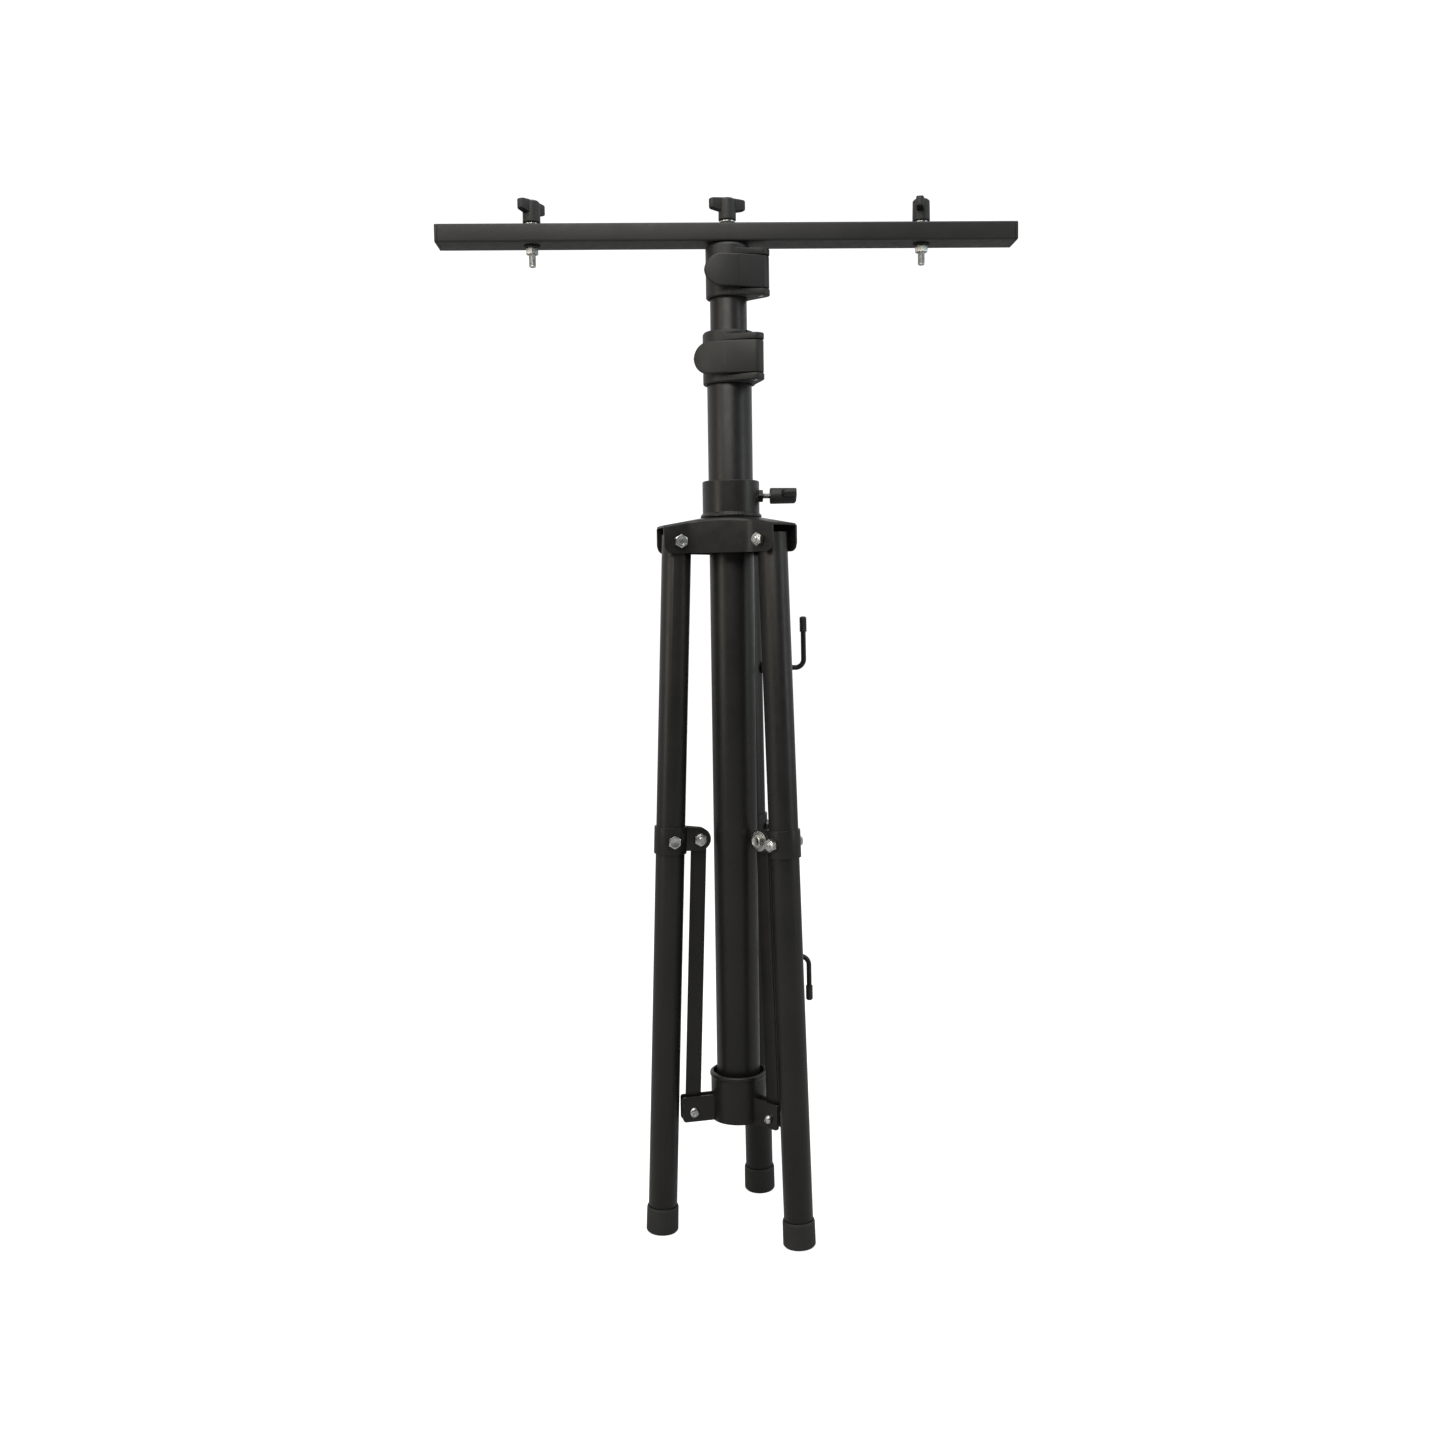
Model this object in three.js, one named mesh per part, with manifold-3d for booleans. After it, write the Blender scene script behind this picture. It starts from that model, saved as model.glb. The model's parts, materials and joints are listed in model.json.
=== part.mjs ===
// Folding tripod stand with two telescoping tubes and a T-bar, legs folded.
// Millimetres, +Z up, T-bar along X. The part stands on z = 0.

import * as THREE from 'three';
import { mergeVertices } from 'three/addons/utils/BufferGeometryUtils.js';
import Module from 'manifold-3d';

const wasm = await Module();
wasm.setup();

// ---- driving dimensions -------------------------------------------------

// Tubes
const COLUMN_RADIUS = 25;
const COLUMN_BOTTOM = 130;
const COLUMN_TOP = 1001;
const MID_RADIUS = 20.5;
const MID_BOTTOM = 330;
const MID_TOP = 1096;
const TOP_RADIUS = 17.5;
const TOP_BOTTOM = 500;
const TUBE_WALL = 1.2;
const BUSH_LENGTH = 30;
const SLIDE_GAP = 0.6;
const FIT_GAP = 0.3;

// T-bar and its bolts
const TBAR_LENGTH = 633.6;
const TBAR_DEPTH = 40;
const TBAR_HEIGHT = 20;
const TBAR_UNDERSIDE = 1119.5;
const TBAR_BOLT_X = 216;
const TBAR_CAP_LIP = 3.2;
const STUD_RADIUS = 4;
const STUD_HOLE_RADIUS = 4.6;
const NUT_FLATS = 13;
const NUT_HEIGHT = 6.5;
const WASHER_RADIUS = 9;
const WASHER_HEIGHT = 2.4;
const STUD_BELOW_NUT = 14;
const WING_LENGTH = 42;
const WING_HEIGHT = 14.5;
const WING_THICKNESS = 9;
const KNOB_STEM_RADIUS = 10;
const KNOB_HEIGHT = 24.5;
const KNOB_LIFTS = { left: 4.2, centre: 6, right: 4.2 };
const FLANGE_HEIGHT = 1.8;
const FLANGE_RADIUS = 8.5;
const STUD_IN_KNOB = 12;
const CENTRE_STUD_REACH = 24;
const KNOB_TURNS = { left: 57, centre: 19, right: 76 };
const CAP_PLUG_LENGTH = 14;
const CAP_PLUG_WALL = 2;

// Legs and their linkage, in each leg's own radial plane
const LEG_AZIMUTHS = { left: 192.5, right: 312.5, rear: 72.5 };
const LEG_RADIUS = 16.5;
const LEG_SPLAY = 2.2;
const LEG_ABOVE_PIVOT = 7.5;
const LEG_BOLT_PLAY = 1.5;
const HUB_PIVOT_RADIUS = 63.5;
const HUB_PIVOT_HEIGHT = 792.5;
const FOOT_RADIUS = 18.5;
const FOOT_HEIGHT = 30;
const FOOT_SOLE = 6;
const FOOT_CHAMFER = 1.5;
const CLAMP_DROP = 335.5;
const ARM_REACH = 33;
const ARM_RISE = 0.5;
const LUG_PIVOT_RADIUS = 55.5;
const LUG_PIVOT_HEIGHT = 139;
const BRACE_WIDTH = 18;
const BRACE_THICKNESS = 3;
const CLAMP_BAND = 1.8;
const CLAMP_HALF_HEIGHT = 15.5;
const ARM_END_RADIUS = 13;
const ARM_HALF_GAP = 4;
const ARM_PLATE = 2.2;
const LUG_SCREW_RADIUS = 3;

// Hub
const HUB_RING_RADIUS = 32;
const HUB_RING_WALL = 2.5;
const HUB_RING_TOP = 860;
const HUB_RING_BASE = 819.5;
const HUB_END_RADIUS = 82;
const HUB_ROOF_DROP = 9;
const HUB_SKIRT_BOTTOM = 779.5;
const HUB_EAR_INSIDE = 17.5;
const HUB_PLATE = 2.5;
const HUB_BEAD = 2.5;
const HUB_EAR_CORNER = 9;
const THUMB_SCREW_HEIGHT = 843.5;
const THUMB_SCREW_RADIUS = 3;
const THUMB_KNOB_START = 44;
const THUMB_SCREW_TURN = 76;
const THUMB_KNOB_SCALE = [0.88, 0.92, 1.22];

// Collar at the column's foot
const COLLAR_RADIUS = 32;
const COLLAR_WALL = 2.5;
const COLLAR_ROLL = 1.2;
const COLLAR_LINER_DEPTH = 7;
const COLLAR_BOTTOM = 126.5;
const COLLAR_TOP = 182;
const LUG_END = 68.5;
const LUG_GAP = 9;
const LUG_PLATE = 3;
const LUG_LOW = -11.5;
const LUG_HIGH = 18;
const LUG_CORNER = 4;

// Telescoping clamps
const CLAMP_HEIGHT = 57;
const CLAMP_SEAT = 36;
const CLAMP_WALL = 4.3;
const CLAMP_PIN_REACH = 13;
const CLAMP_SLOT = 2.4;
const EAR_BASE = 0.6;
const EAR_HEIGHT = 7;
const LEVER_HEIGHT = 35;
const LEVER_THICKNESS = 5;
const LEVER_GAP = 2;
const BOSS_RADIUS = 10;
const PIN_RADIUS = 3;
const LEVER_BOSS_STEP = 0.5;
const PADDLE_LENGTH = 35;
const PADDLE_BEND = THREE.MathUtils.degToRad(-14);
const CREASE_ANGLE = THREE.MathUtils.degToRad(-52);
const LOWER_CLAMP_AZIMUTH = -50;
const UPPER_CLAMP_AZIMUTH = -20;
const LOWER_CLAMP_BOTTOM = 966.5;
const UPPER_CLAMP_BOTTOM = 1060.5;

// Cable hooks on the rear leg
const HOOK_REACH = 67;
const HOOK_ROD_RADIUS = 3;
const HOOK_BEND = 10;
const HOOK_FLARE_RADIUS = 7;
const HOOK_TIP_RADIUS = 4.2;
const HOOK_TIP_LENGTH = 18;
const HOOK_UPPER_DROP = 145.2;
const HOOK_UPPER_RISE = 60;
const HOOK_LOWER_DROP = 493.9;
const HOOK_LOWER_RISE = 54;

// Sides of a large and of a small round piece.
const ROUND = 24;
const SMALL_ROUND = 10;

// How far a cutter runs past what it cuts, and half the length of a cutter for a cross hole.
const PAST = 1;
const CROSS = 40;

// ---- materials ----------------------------------------------------------

const blackPaint = { color: 0x1b1a19, roughness: 0.42, metalness: 0.3 };
const blackPlastic = { color: 0x161616, roughness: 0.55, metalness: 0 };
const blackRubber = { color: 0x1c1d1c, roughness: 0.8, metalness: 0 };
const brightZinc = { color: 0xc4c6c6, roughness: 0.3, metalness: 1 };

// ---- solids -------------------------------------------------------------

// A closed solid from any closed three.js geometry.
function solidOf(geometry) {
  geometry.deleteAttribute('normal');
  geometry.deleteAttribute('uv');
  const merged = mergeVertices(geometry, 1e-4);
  const index = merged.index.array;
  const triangles = [];
  for (let i = 0; i < index.length; i += 3) {
    const [a, b, c] = [index[i], index[i + 1], index[i + 2]];
    if (a !== b && b !== c && c !== a) triangles.push(a, b, c);
  }
  return new wasm.Manifold(new wasm.Mesh({
    numProp: 3,
    vertProperties: Float32Array.from(merged.attributes.position.array),
    triVerts: Uint32Array.from(triangles),
  }));
}

function joined(...solids) {
  return solids.reduce((whole, next) => whole.add(next));
}

function cut(solid, ...tools) {
  return tools.reduce((whole, tool) => whole.subtract(tool), solid);
}

function mesh(name, solid, look) {
  const data = solid.getMesh();
  const positions = Float32Array.from(data.vertProperties);
  const triangles = Uint32Array.from(data.triVerts);
  const geometry = new THREE.BufferGeometry();
  geometry.setAttribute('position', new THREE.BufferAttribute(positions, 3));
  geometry.setIndex(new THREE.BufferAttribute(triangles, 1));
  geometry.computeVertexNormals();
  const node = new THREE.Mesh(geometry, new THREE.MeshStandardMaterial(look));
  node.name = name;
  return node;
}

// Turned round the Z axis from a closed [radius, height] outline, given anticlockwise.
function turned(outline, segments = ROUND) {
  const points = [...outline, outline[0]].map(([radius, height]) => new THREE.Vector2(radius, height));
  return solidOf(new THREE.LatheGeometry(points, segments).rotateX(Math.PI / 2));
}

function ring(inner, outer, bottom, top, segments = ROUND) {
  return turned([[inner, bottom], [outer, bottom], [outer, top], [inner, top]], segments);
}

function rod(radius, bottom, top, segments = SMALL_ROUND) {
  const geometry = new THREE.CylinderGeometry(radius, radius, top - bottom, segments);
  return solidOf(geometry.rotateX(Math.PI / 2).translate(0, 0, (bottom + top) / 2));
}

function box(x, y, z) {
  const geometry = new THREE.BoxGeometry(x[1] - x[0], y[1] - y[0], z[1] - z[0]);
  return solidOf(geometry.translate((x[0] + x[1]) / 2, (y[0] + y[1]) / 2, (z[0] + z[1]) / 2));
}

// A flat outline raised along Z from bottom to top.
function raised(shape, bottom, top, curveSegments = 8) {
  const settings = { depth: top - bottom, bevelEnabled: false, curveSegments };
  return solidOf(new THREE.ExtrudeGeometry(shape, settings).translate(0, 0, bottom));
}

function polygon(points) {
  return new THREE.Shape(points.map(([x, y]) => new THREE.Vector2(x, y)));
}

function disc(x, y, radius) {
  return new THREE.Shape().absarc(x, y, radius, 0, Math.PI * 2);
}

// Turns a solid's Z axis to lie along -Y, or +X.
function alongY(solid) {
  return solid.rotate([90, 0, 0]);
}

function alongX(solid) {
  return solid.rotate([0, 90, 0]);
}

// Across hole through a leg's pieces, at its own origin.
function crossHole(radius) {
  return alongY(rod(radius, -CROSS, CROSS));
}

function hexagon(flats, bottom, top) {
  return rod(flats / 2 / Math.cos(Math.PI / 6), bottom, top, 6);
}

// ---- fasteners ----------------------------------------------------------

// Hex bolt along Z between two faces, with its nut run on at the low end.
function boltWithNut(radius, flats, gripLow, gripHigh) {
  const headHeight = radius * 1.35;
  const nutHeight = radius * 1.9;
  const stubLength = radius * 0.5;
  return joined(
    rod(radius, gripLow - nutHeight - stubLength, gripHigh + headHeight / 2),
    hexagon(flats, gripHigh, gripHigh + headHeight),
    hexagon(flats, gripLow - nutHeight, gripLow),
  );
}

// Wing knob standing on z = 0: a round stem that carries a flat wing.
function wingKnob() {
  const half = WING_LENGTH / 2;
  const low = KNOB_HEIGHT - WING_HEIGHT;
  const wing = new THREE.Shape();
  wing.moveTo(-half, low + 4);
  wing.lineTo(-KNOB_STEM_RADIUS, low);
  wing.lineTo(KNOB_STEM_RADIUS, low);
  wing.lineTo(half, low + 4);
  wing.lineTo(half, KNOB_HEIGHT - 1);
  wing.quadraticCurveTo(half / 2, KNOB_HEIGHT - 3, 0, KNOB_HEIGHT);
  wing.quadraticCurveTo(-half / 2, KNOB_HEIGHT - 3, -half, KNOB_HEIGHT - 1);
  wing.closePath();
  const flat = raised(wing, -WING_THICKNESS / 2, WING_THICKNESS / 2, 3).rotate([90, 0, 0]);
  const stem = turned([[0, 0], [KNOB_STEM_RADIUS, 0], [KNOB_STEM_RADIUS - 0.5, low + 6], [0, low + 8]], 14);
  return joined(stem, flat);
}

// The blind hole is where the stud is moulded in.
function knobWithHole() {
  return cut(wingKnob(), rod(STUD_RADIUS + FIT_GAP, -PAST, STUD_IN_KNOB + FIT_GAP));
}

// ---- telescoping tubes --------------------------------------------------

function columnParts() {
  const topEnd = TBAR_UNDERSIDE - FIT_GAP;
  const columnBore = COLUMN_RADIUS - TUBE_WALL;
  const midBore = MID_RADIUS - TUBE_WALL;
  const topBore = TOP_RADIUS - TUBE_WALL;
  const column = ring(columnBore, COLUMN_RADIUS, COLUMN_BOTTOM, COLUMN_TOP);
  const mid = ring(midBore, MID_RADIUS, MID_BOTTOM, MID_TOP);
  const top = ring(topBore, TOP_RADIUS, TOP_BOTTOM, topEnd);
  const midBushTop = MID_BOTTOM + BUSH_LENGTH;
  const topBushTop = TOP_BOTTOM + BUSH_LENGTH;
  const midBush = ring(MID_RADIUS + FIT_GAP, columnBore - FIT_GAP * 2, MID_BOTTOM, midBushTop);
  const topBush = ring(TOP_RADIUS + FIT_GAP / 2, midBore - FIT_GAP, TOP_BOTTOM, topBushTop);
  const insert = ring(STUD_HOLE_RADIUS, topBore - FIT_GAP, topEnd - BUSH_LENGTH, topEnd);
  return [
    mesh('column_tube', column, blackPaint),
    mesh('mid_tube', mid, blackPaint),
    mesh('top_tube', top, blackPaint),
    mesh('mid_bush', midBush, blackPlastic),
    mesh('top_bush', topBush, blackPlastic),
    mesh('top_insert', insert, brightZinc),
  ];
}

// ---- telescoping clamp --------------------------------------------------

// Collar that holds the outer tube in its lower part and grips the inner tube in its neck.
function clampBody(outerTube, innerTube) {
  const radius = outerTube + CLAMP_WALL;
  const pin = radius + CLAMP_PIN_REACH;
  const side = radius - 2;
  const earTop = EAR_BASE + EAR_HEIGHT * 2 + LEVER_HEIGHT + SLIDE_GAP * 2;
  const roomLow = EAR_BASE + EAR_HEIGHT;
  const roomHigh = earTop - EAR_HEIGHT;
  const earPlan = polygon([[0, -side], [pin, -BOSS_RADIUS], [pin, BOSS_RADIUS], [0, side]]);
  const ears = joined(
    raised(earPlan, EAR_BASE, earTop),
    raised(disc(pin, 0, BOSS_RADIUS), EAR_BASE, earTop, 6),
  );
  const leverRoom = joined(
    raised(disc(pin, 0, BOSS_RADIUS + 2), roomLow, roomHigh, 6),
    box([radius - 3, pin + BOSS_RADIUS * 2], [-pin, radius], [roomLow, roomHigh]),
  );
  const split = box(
    [0, pin - BOSS_RADIUS],
    [-CLAMP_SLOT / 2, CLAMP_SLOT / 2],
    [CLAMP_SEAT + 6, CLAMP_HEIGHT + PAST],
  );
  return cut(
    joined(rod(radius, 0, CLAMP_HEIGHT, ROUND), cut(ears, leverRoom)),
    rod(outerTube + FIT_GAP * 1.5, -PAST, CLAMP_SEAT, ROUND),
    rod(innerTube + SLIDE_GAP, CLAMP_SEAT - PAST, CLAMP_HEIGHT + PAST, ROUND),
    rod(PIN_RADIUS + FIT_GAP, -PAST, CLAMP_HEIGHT + PAST).translate([pin, 0, 0]),
    split,
  );
}

// Cam lever in its closed place: a hub on the pin, a band round the collar, then a paddle.
function clampLever(outerTube) {
  const pin = outerTube + CLAMP_WALL + CLAMP_PIN_REACH;
  const inner = outerTube + CLAMP_WALL + LEVER_GAP;
  const outer = inner + LEVER_THICKNESS;
  const band = raised(leverBand(inner, outer, pin), 0, LEVER_HEIGHT, 8);
  const paddle = raised(leverPaddle(inner, outer), 0, LEVER_HEIGHT, 4);
  const hub = raised(disc(pin, 0, BOSS_RADIUS - LEVER_BOSS_STEP), 0, LEVER_HEIGHT, 6);
  const collarRoom = rod(inner, -PAST, LEVER_HEIGHT + PAST, ROUND);
  const pinHole = rod(PIN_RADIUS + FIT_GAP, -PAST, LEVER_HEIGHT + PAST).translate([pin, 0, 0]);
  const body = joined(cut(band, collarRoom), hub, paddle.intersect(paddleSide(inner, outer)));
  return cut(body, pinHole);
}

// Plan of the lever from the crease to the pin: round inside, straight outside, tangent to the boss.
function leverBand(inner, outer, pin) {
  const end = -0.12;
  const boss = BOSS_RADIUS - LEVER_BOSS_STEP;
  const tangent = -Math.acos((outer - boss) / pin);
  const band = new THREE.Shape();
  band.moveTo(Math.cos(CREASE_ANGLE) * outer, Math.sin(CREASE_ANGLE) * outer);
  band.lineTo(pin + Math.cos(tangent) * boss, Math.sin(tangent) * boss);
  band.lineTo(pin, 0);
  band.lineTo(inner + 3, -1);
  band.absarc(0, 0, inner, end, CREASE_ANGLE, true);
  band.closePath();
  return band;
}

// Plan of the paddle that runs straight on past the crease.
function leverPaddle(inner, outer) {
  const at = (across, along) => [
    Math.cos(CREASE_ANGLE) * across + Math.sin(CREASE_ANGLE) * along,
    Math.sin(CREASE_ANGLE) * across - Math.cos(CREASE_ANGLE) * along,
  ];
  const middle = PADDLE_LENGTH / 2;
  const sunk = PADDLE_LENGTH * Math.tan(-PADDLE_BEND);
  const paddle = new THREE.Shape();
  paddle.moveTo(...at(inner, -1));
  paddle.lineTo(...at(outer, -1));
  paddle.quadraticCurveTo(...at(outer - 1, middle), ...at(outer - sunk, PADDLE_LENGTH));
  paddle.lineTo(...at(outer - sunk - 4, PADDLE_LENGTH));
  paddle.quadraticCurveTo(...at(inner - 1, middle), ...at(inner, -1));
  return paddle;
}

// Round-ended side view of the paddle, as a bar through it to cross it with.
function paddleSide(inner, outer) {
  const endRadius = LEVER_HEIGHT / 2;
  const straight = PADDLE_LENGTH - endRadius;
  const profile = new THREE.Shape();
  profile.moveTo(-PADDLE_LENGTH, 0);
  profile.lineTo(straight, 0);
  profile.absarc(straight, endRadius, endRadius, -Math.PI / 2, Math.PI / 2);
  profile.lineTo(-PADDLE_LENGTH, LEVER_HEIGHT);
  profile.closePath();
  return raised(profile, inner - BOSS_RADIUS * 2, outer + BOSS_RADIUS, 6)
    .rotate([90, 0, 90])
    .rotate([0, 0, THREE.MathUtils.radToDeg(CREASE_ANGLE)])
    .mirror([Math.sin(CREASE_ANGLE), -Math.cos(CREASE_ANGLE), 0]);
}

function clampParts(prefix, outerTube, innerTube, bottom, azimuth) {
  const body = mesh(`${prefix}_clamp_body`, clampBody(outerTube, innerTube), blackPlastic);
  const lever = mesh(`${prefix}_clamp_lever`, clampLever(outerTube), blackPlastic);
  lever.position.z = EAR_BASE + EAR_HEIGHT + SLIDE_GAP;
  const pinTop = EAR_BASE + EAR_HEIGHT * 2 + LEVER_HEIGHT + SLIDE_GAP * 2 + 0.4;
  const pin = mesh(`${prefix}_clamp_pin`, rod(PIN_RADIUS, EAR_BASE - 0.4, pinTop), brightZinc);
  pin.position.x = outerTube + CLAMP_WALL + CLAMP_PIN_REACH;
  const clamp = new THREE.Group();
  clamp.add(body, lever, pin);
  clamp.position.z = bottom;
  clamp.rotation.z = THREE.MathUtils.degToRad(azimuth);
  return clamp;
}

// ---- T-bar --------------------------------------------------------------

function tbarParts() {
  const half = TBAR_LENGTH / 2;
  const outer = box([-half, half], [-TBAR_DEPTH / 2, TBAR_DEPTH / 2], [0, TBAR_HEIGHT]);
  const boreY = TBAR_DEPTH / 2 - TUBE_WALL;
  const bore = box([-half - PAST, half + PAST], [-boreY, boreY], [TUBE_WALL, TBAR_HEIGHT - TUBE_WALL]);
  const holes = [-TBAR_BOLT_X, 0, TBAR_BOLT_X].map((x) =>
    rod(STUD_HOLE_RADIUS, -CROSS, CROSS).translate([x, 0, 0]));
  const parts = [mesh('tbar', cut(outer, bore, ...holes), blackPaint)];
  const outerReach = STUD_BELOW_NUT + NUT_HEIGHT + WASHER_HEIGHT;
  for (const [side, sign] of [['left', -1], ['right', 1]]) {
    const cap = mesh(`tbar_cap_${side}`, endCap(), blackPlastic);
    cap.position.x = sign * (half + FIT_GAP);
    cap.rotation.z = sign > 0 ? 0 : Math.PI;
    const bolted = new THREE.Group();
    bolted.add(...underBarParts(side), ...wingBolt(side, outerReach));
    bolted.position.x = sign * TBAR_BOLT_X;
    parts.push(cap, bolted);
  }
  parts.push(...wingBolt('centre', CENTRE_STUD_REACH));
  return parts;
}

// Plastic cap on the bar's end at x = 0: a lip outside and a hollow plug inside.
function endCap() {
  const plugY = TBAR_DEPTH / 2 - TUBE_WALL - FIT_GAP;
  const plugLow = TUBE_WALL + FIT_GAP;
  const plugHigh = TBAR_HEIGHT - plugLow;
  const wall = CAP_PLUG_WALL;
  const lip = box([0, TBAR_CAP_LIP], [-TBAR_DEPTH / 2, TBAR_DEPTH / 2], [0, TBAR_HEIGHT]);
  const plug = box([-CAP_PLUG_LENGTH, PAST], [-plugY, plugY], [plugLow, plugHigh]);
  const hollow = box(
    [-CAP_PLUG_LENGTH - PAST, 0],
    [-plugY + wall, plugY - wall],
    [plugLow + wall, plugHigh - wall],
  );
  return cut(joined(lip, plug), hollow);
}

// Washer and nut under an outer bolt.
function underBarParts(side) {
  const bore = STUD_HOLE_RADIUS;
  const nutTop = -WASHER_HEIGHT - FIT_GAP;
  const nutSolid = cut(hexagon(NUT_FLATS, nutTop - NUT_HEIGHT, nutTop), rod(bore, -CROSS, 0));
  const washerSolid = ring(bore, WASHER_RADIUS, -WASHER_HEIGHT, -FIT_GAP, 12);
  const washer = mesh(`bar_washer_${side}`, washerSolid, blackPlastic);
  const nut = mesh(`bar_nut_${side}`, nutSolid, brightZinc);
  return [washer, nut];
}

// Wing bolt through the bar: a plastic knob, and its steel stud that reaches below the bar.
function wingBolt(side, reach) {
  const seat = TBAR_HEIGHT + KNOB_LIFTS[side];
  const flangeTop = seat - FIT_GAP;
  const stud = joined(
    rod(STUD_RADIUS, -reach, seat + STUD_IN_KNOB),
    ring(STUD_RADIUS - 1, FLANGE_RADIUS, flangeTop - FLANGE_HEIGHT, flangeTop, SMALL_ROUND),
  );
  const knob = mesh(`wing_knob_${side}`, knobWithHole(), blackPlastic);
  const bolt = mesh(`wing_stud_${side}`, stud, brightZinc);
  const turn = THREE.MathUtils.degToRad(KNOB_TURNS[side]);
  knob.position.z = seat;
  knob.rotation.z = turn;
  bolt.rotation.z = turn;
  return [knob, bolt];
}

// ---- hub ----------------------------------------------------------------

// Plan outline of the hub: long sides bent towards each leg, square ends over the legs.
function hubOutline(inset, endRadius) {
  const side = HUB_EAR_INSIDE + HUB_PLATE - inset;
  const points = [];
  for (const azimuth of Object.values(LEG_AZIMUTHS).sort((a, b) => a - b)) {
    const turn = THREE.MathUtils.degToRad(azimuth);
    const out = new THREE.Vector2(Math.cos(turn), Math.sin(turn));
    const across = new THREE.Vector2(-out.y, out.x);
    const bend = HUB_PIVOT_RADIUS - 14;
    for (const [along, aside] of [[bend, -side], [endRadius, -side], [endRadius, side], [bend, side]]) {
      points.push([out.x * along + across.x * aside, out.y * along + across.y * aside]);
    }
  }
  return polygon(points);
}

// Everything below the hub's sloping roof.
function underRoof(lower) {
  const top = HUB_RING_BASE - lower;
  const slope = HUB_ROOF_DROP / (HUB_END_RADIUS - HUB_RING_RADIUS);
  const reach = HUB_END_RADIUS + 20;
  const edge = top - slope * (reach - HUB_RING_RADIUS);
  const bottom = HUB_SKIRT_BOTTOM - 5;
  return turned([[0, bottom], [reach, bottom], [reach, edge], [HUB_RING_RADIUS, top], [0, top]]);
}

function hubSpider(bore) {
  const outline = hubOutline(0, HUB_END_RADIUS);
  const roomOutline = hubOutline(HUB_PLATE, HUB_END_RADIUS + CROSS);
  const pan = raised(outline, HUB_SKIRT_BOTTOM, HUB_RING_BASE + PAST).intersect(underRoof(0));
  const room = raised(roomOutline, HUB_SKIRT_BOTTOM - PAST, HUB_RING_BASE).intersect(underRoof(HUB_PLATE));
  const tools = [room, rod(bore, HUB_SKIRT_BOTTOM - PAST, HUB_RING_BASE + PAST * 2, ROUND)];
  for (const azimuth of Object.values(LEG_AZIMUTHS)) {
    const bolt = crossHole(STUD_RADIUS + FIT_GAP).translate([HUB_PIVOT_RADIUS, 0, HUB_PIVOT_HEIGHT]);
    tools.push(bolt.rotate([0, 0, azimuth]));
    tools.push(earCorners().rotate([0, 0, azimuth]));
  }
  return cut(pan, ...tools);
}

// Cutter that chamfers the low outer corner of the two ears at one leg.
function earCorners() {
  const low = HUB_SKIRT_BOTTOM - PAST;
  const end = HUB_END_RADIUS + PAST;
  const chamfer = polygon([
    [HUB_END_RADIUS - HUB_EAR_CORNER, low],
    [end, low],
    [end, HUB_SKIRT_BOTTOM + HUB_EAR_CORNER],
    [HUB_END_RADIUS - 2, HUB_SKIRT_BOTTOM + 3],
  ]);
  return alongY(raised(chamfer, -CROSS, CROSS));
}

// Short tube welded on the hub, with a bead at its foot and a nut for the thumb screw.
function hubRing(bore, base) {
  const bead = HUB_RING_RADIUS + HUB_BEAD;
  const chamfer = 1.2;
  const collar = turned([
    [bore, base], [bead, base], [bead, base + HUB_BEAD], [HUB_RING_RADIUS, base + HUB_BEAD * 2],
    [HUB_RING_RADIUS, HUB_RING_TOP - chamfer], [HUB_RING_RADIUS - chamfer, HUB_RING_TOP],
    [bore, HUB_RING_TOP],
  ]);
  const weldNut = alongX(hexagon(NUT_FLATS, HUB_RING_RADIUS - 1.5, HUB_RING_RADIUS + 4));
  const screwHole = alongX(rod(THUMB_SCREW_RADIUS + FIT_GAP * 2, 0, CROSS));
  const lift = [0, 0, THUMB_SCREW_HEIGHT];
  return cut(joined(collar, weldNut.translate(lift)), screwHole.translate(lift));
}

function hubParts() {
  const bore = HUB_RING_RADIUS - HUB_RING_WALL;
  const base = HUB_RING_BASE + FIT_GAP;
  const liner = ring(COLUMN_RADIUS + SLIDE_GAP * 2, bore - FIT_GAP, base + 2, HUB_RING_TOP - 2);
  const linerHole = alongX(rod(THUMB_SCREW_RADIUS + FIT_GAP * 3, 0, CROSS));
  return [
    mesh('hub_spider', hubSpider(bore), blackPaint),
    mesh('hub_ring', hubRing(bore, base), blackPaint),
    mesh('hub_liner', cut(liner, linerHole.translate([0, 0, THUMB_SCREW_HEIGHT])), blackPlastic),
  ];
}

function thumbScrewParts() {
  const tip = COLUMN_RADIUS + SLIDE_GAP * 2;
  const studSolid = rod(THUMB_SCREW_RADIUS, tip, THUMB_KNOB_START + STUD_IN_KNOB);
  const hole = rod(THUMB_SCREW_RADIUS + FIT_GAP, -PAST, STUD_IN_KNOB + FIT_GAP);
  const stud = mesh('hub_screw_stud', studSolid, brightZinc);
  const knob = mesh('hub_screw_knob', cut(wingKnob().scale(THUMB_KNOB_SCALE), hole), blackPlastic);
  knob.position.z = THUMB_KNOB_START;
  const screw = new THREE.Group();
  screw.add(stud, knob);
  screw.rotation.z = THREE.MathUtils.degToRad(THUMB_SCREW_TURN);
  const lyingAlongX = new THREE.Group();
  lyingAlongX.add(screw);
  lyingAlongX.rotation.y = Math.PI / 2;
  lyingAlongX.position.z = THUMB_SCREW_HEIGHT;
  return lyingAlongX;
}

// ---- collar at the column's foot ----------------------------------------

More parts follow.
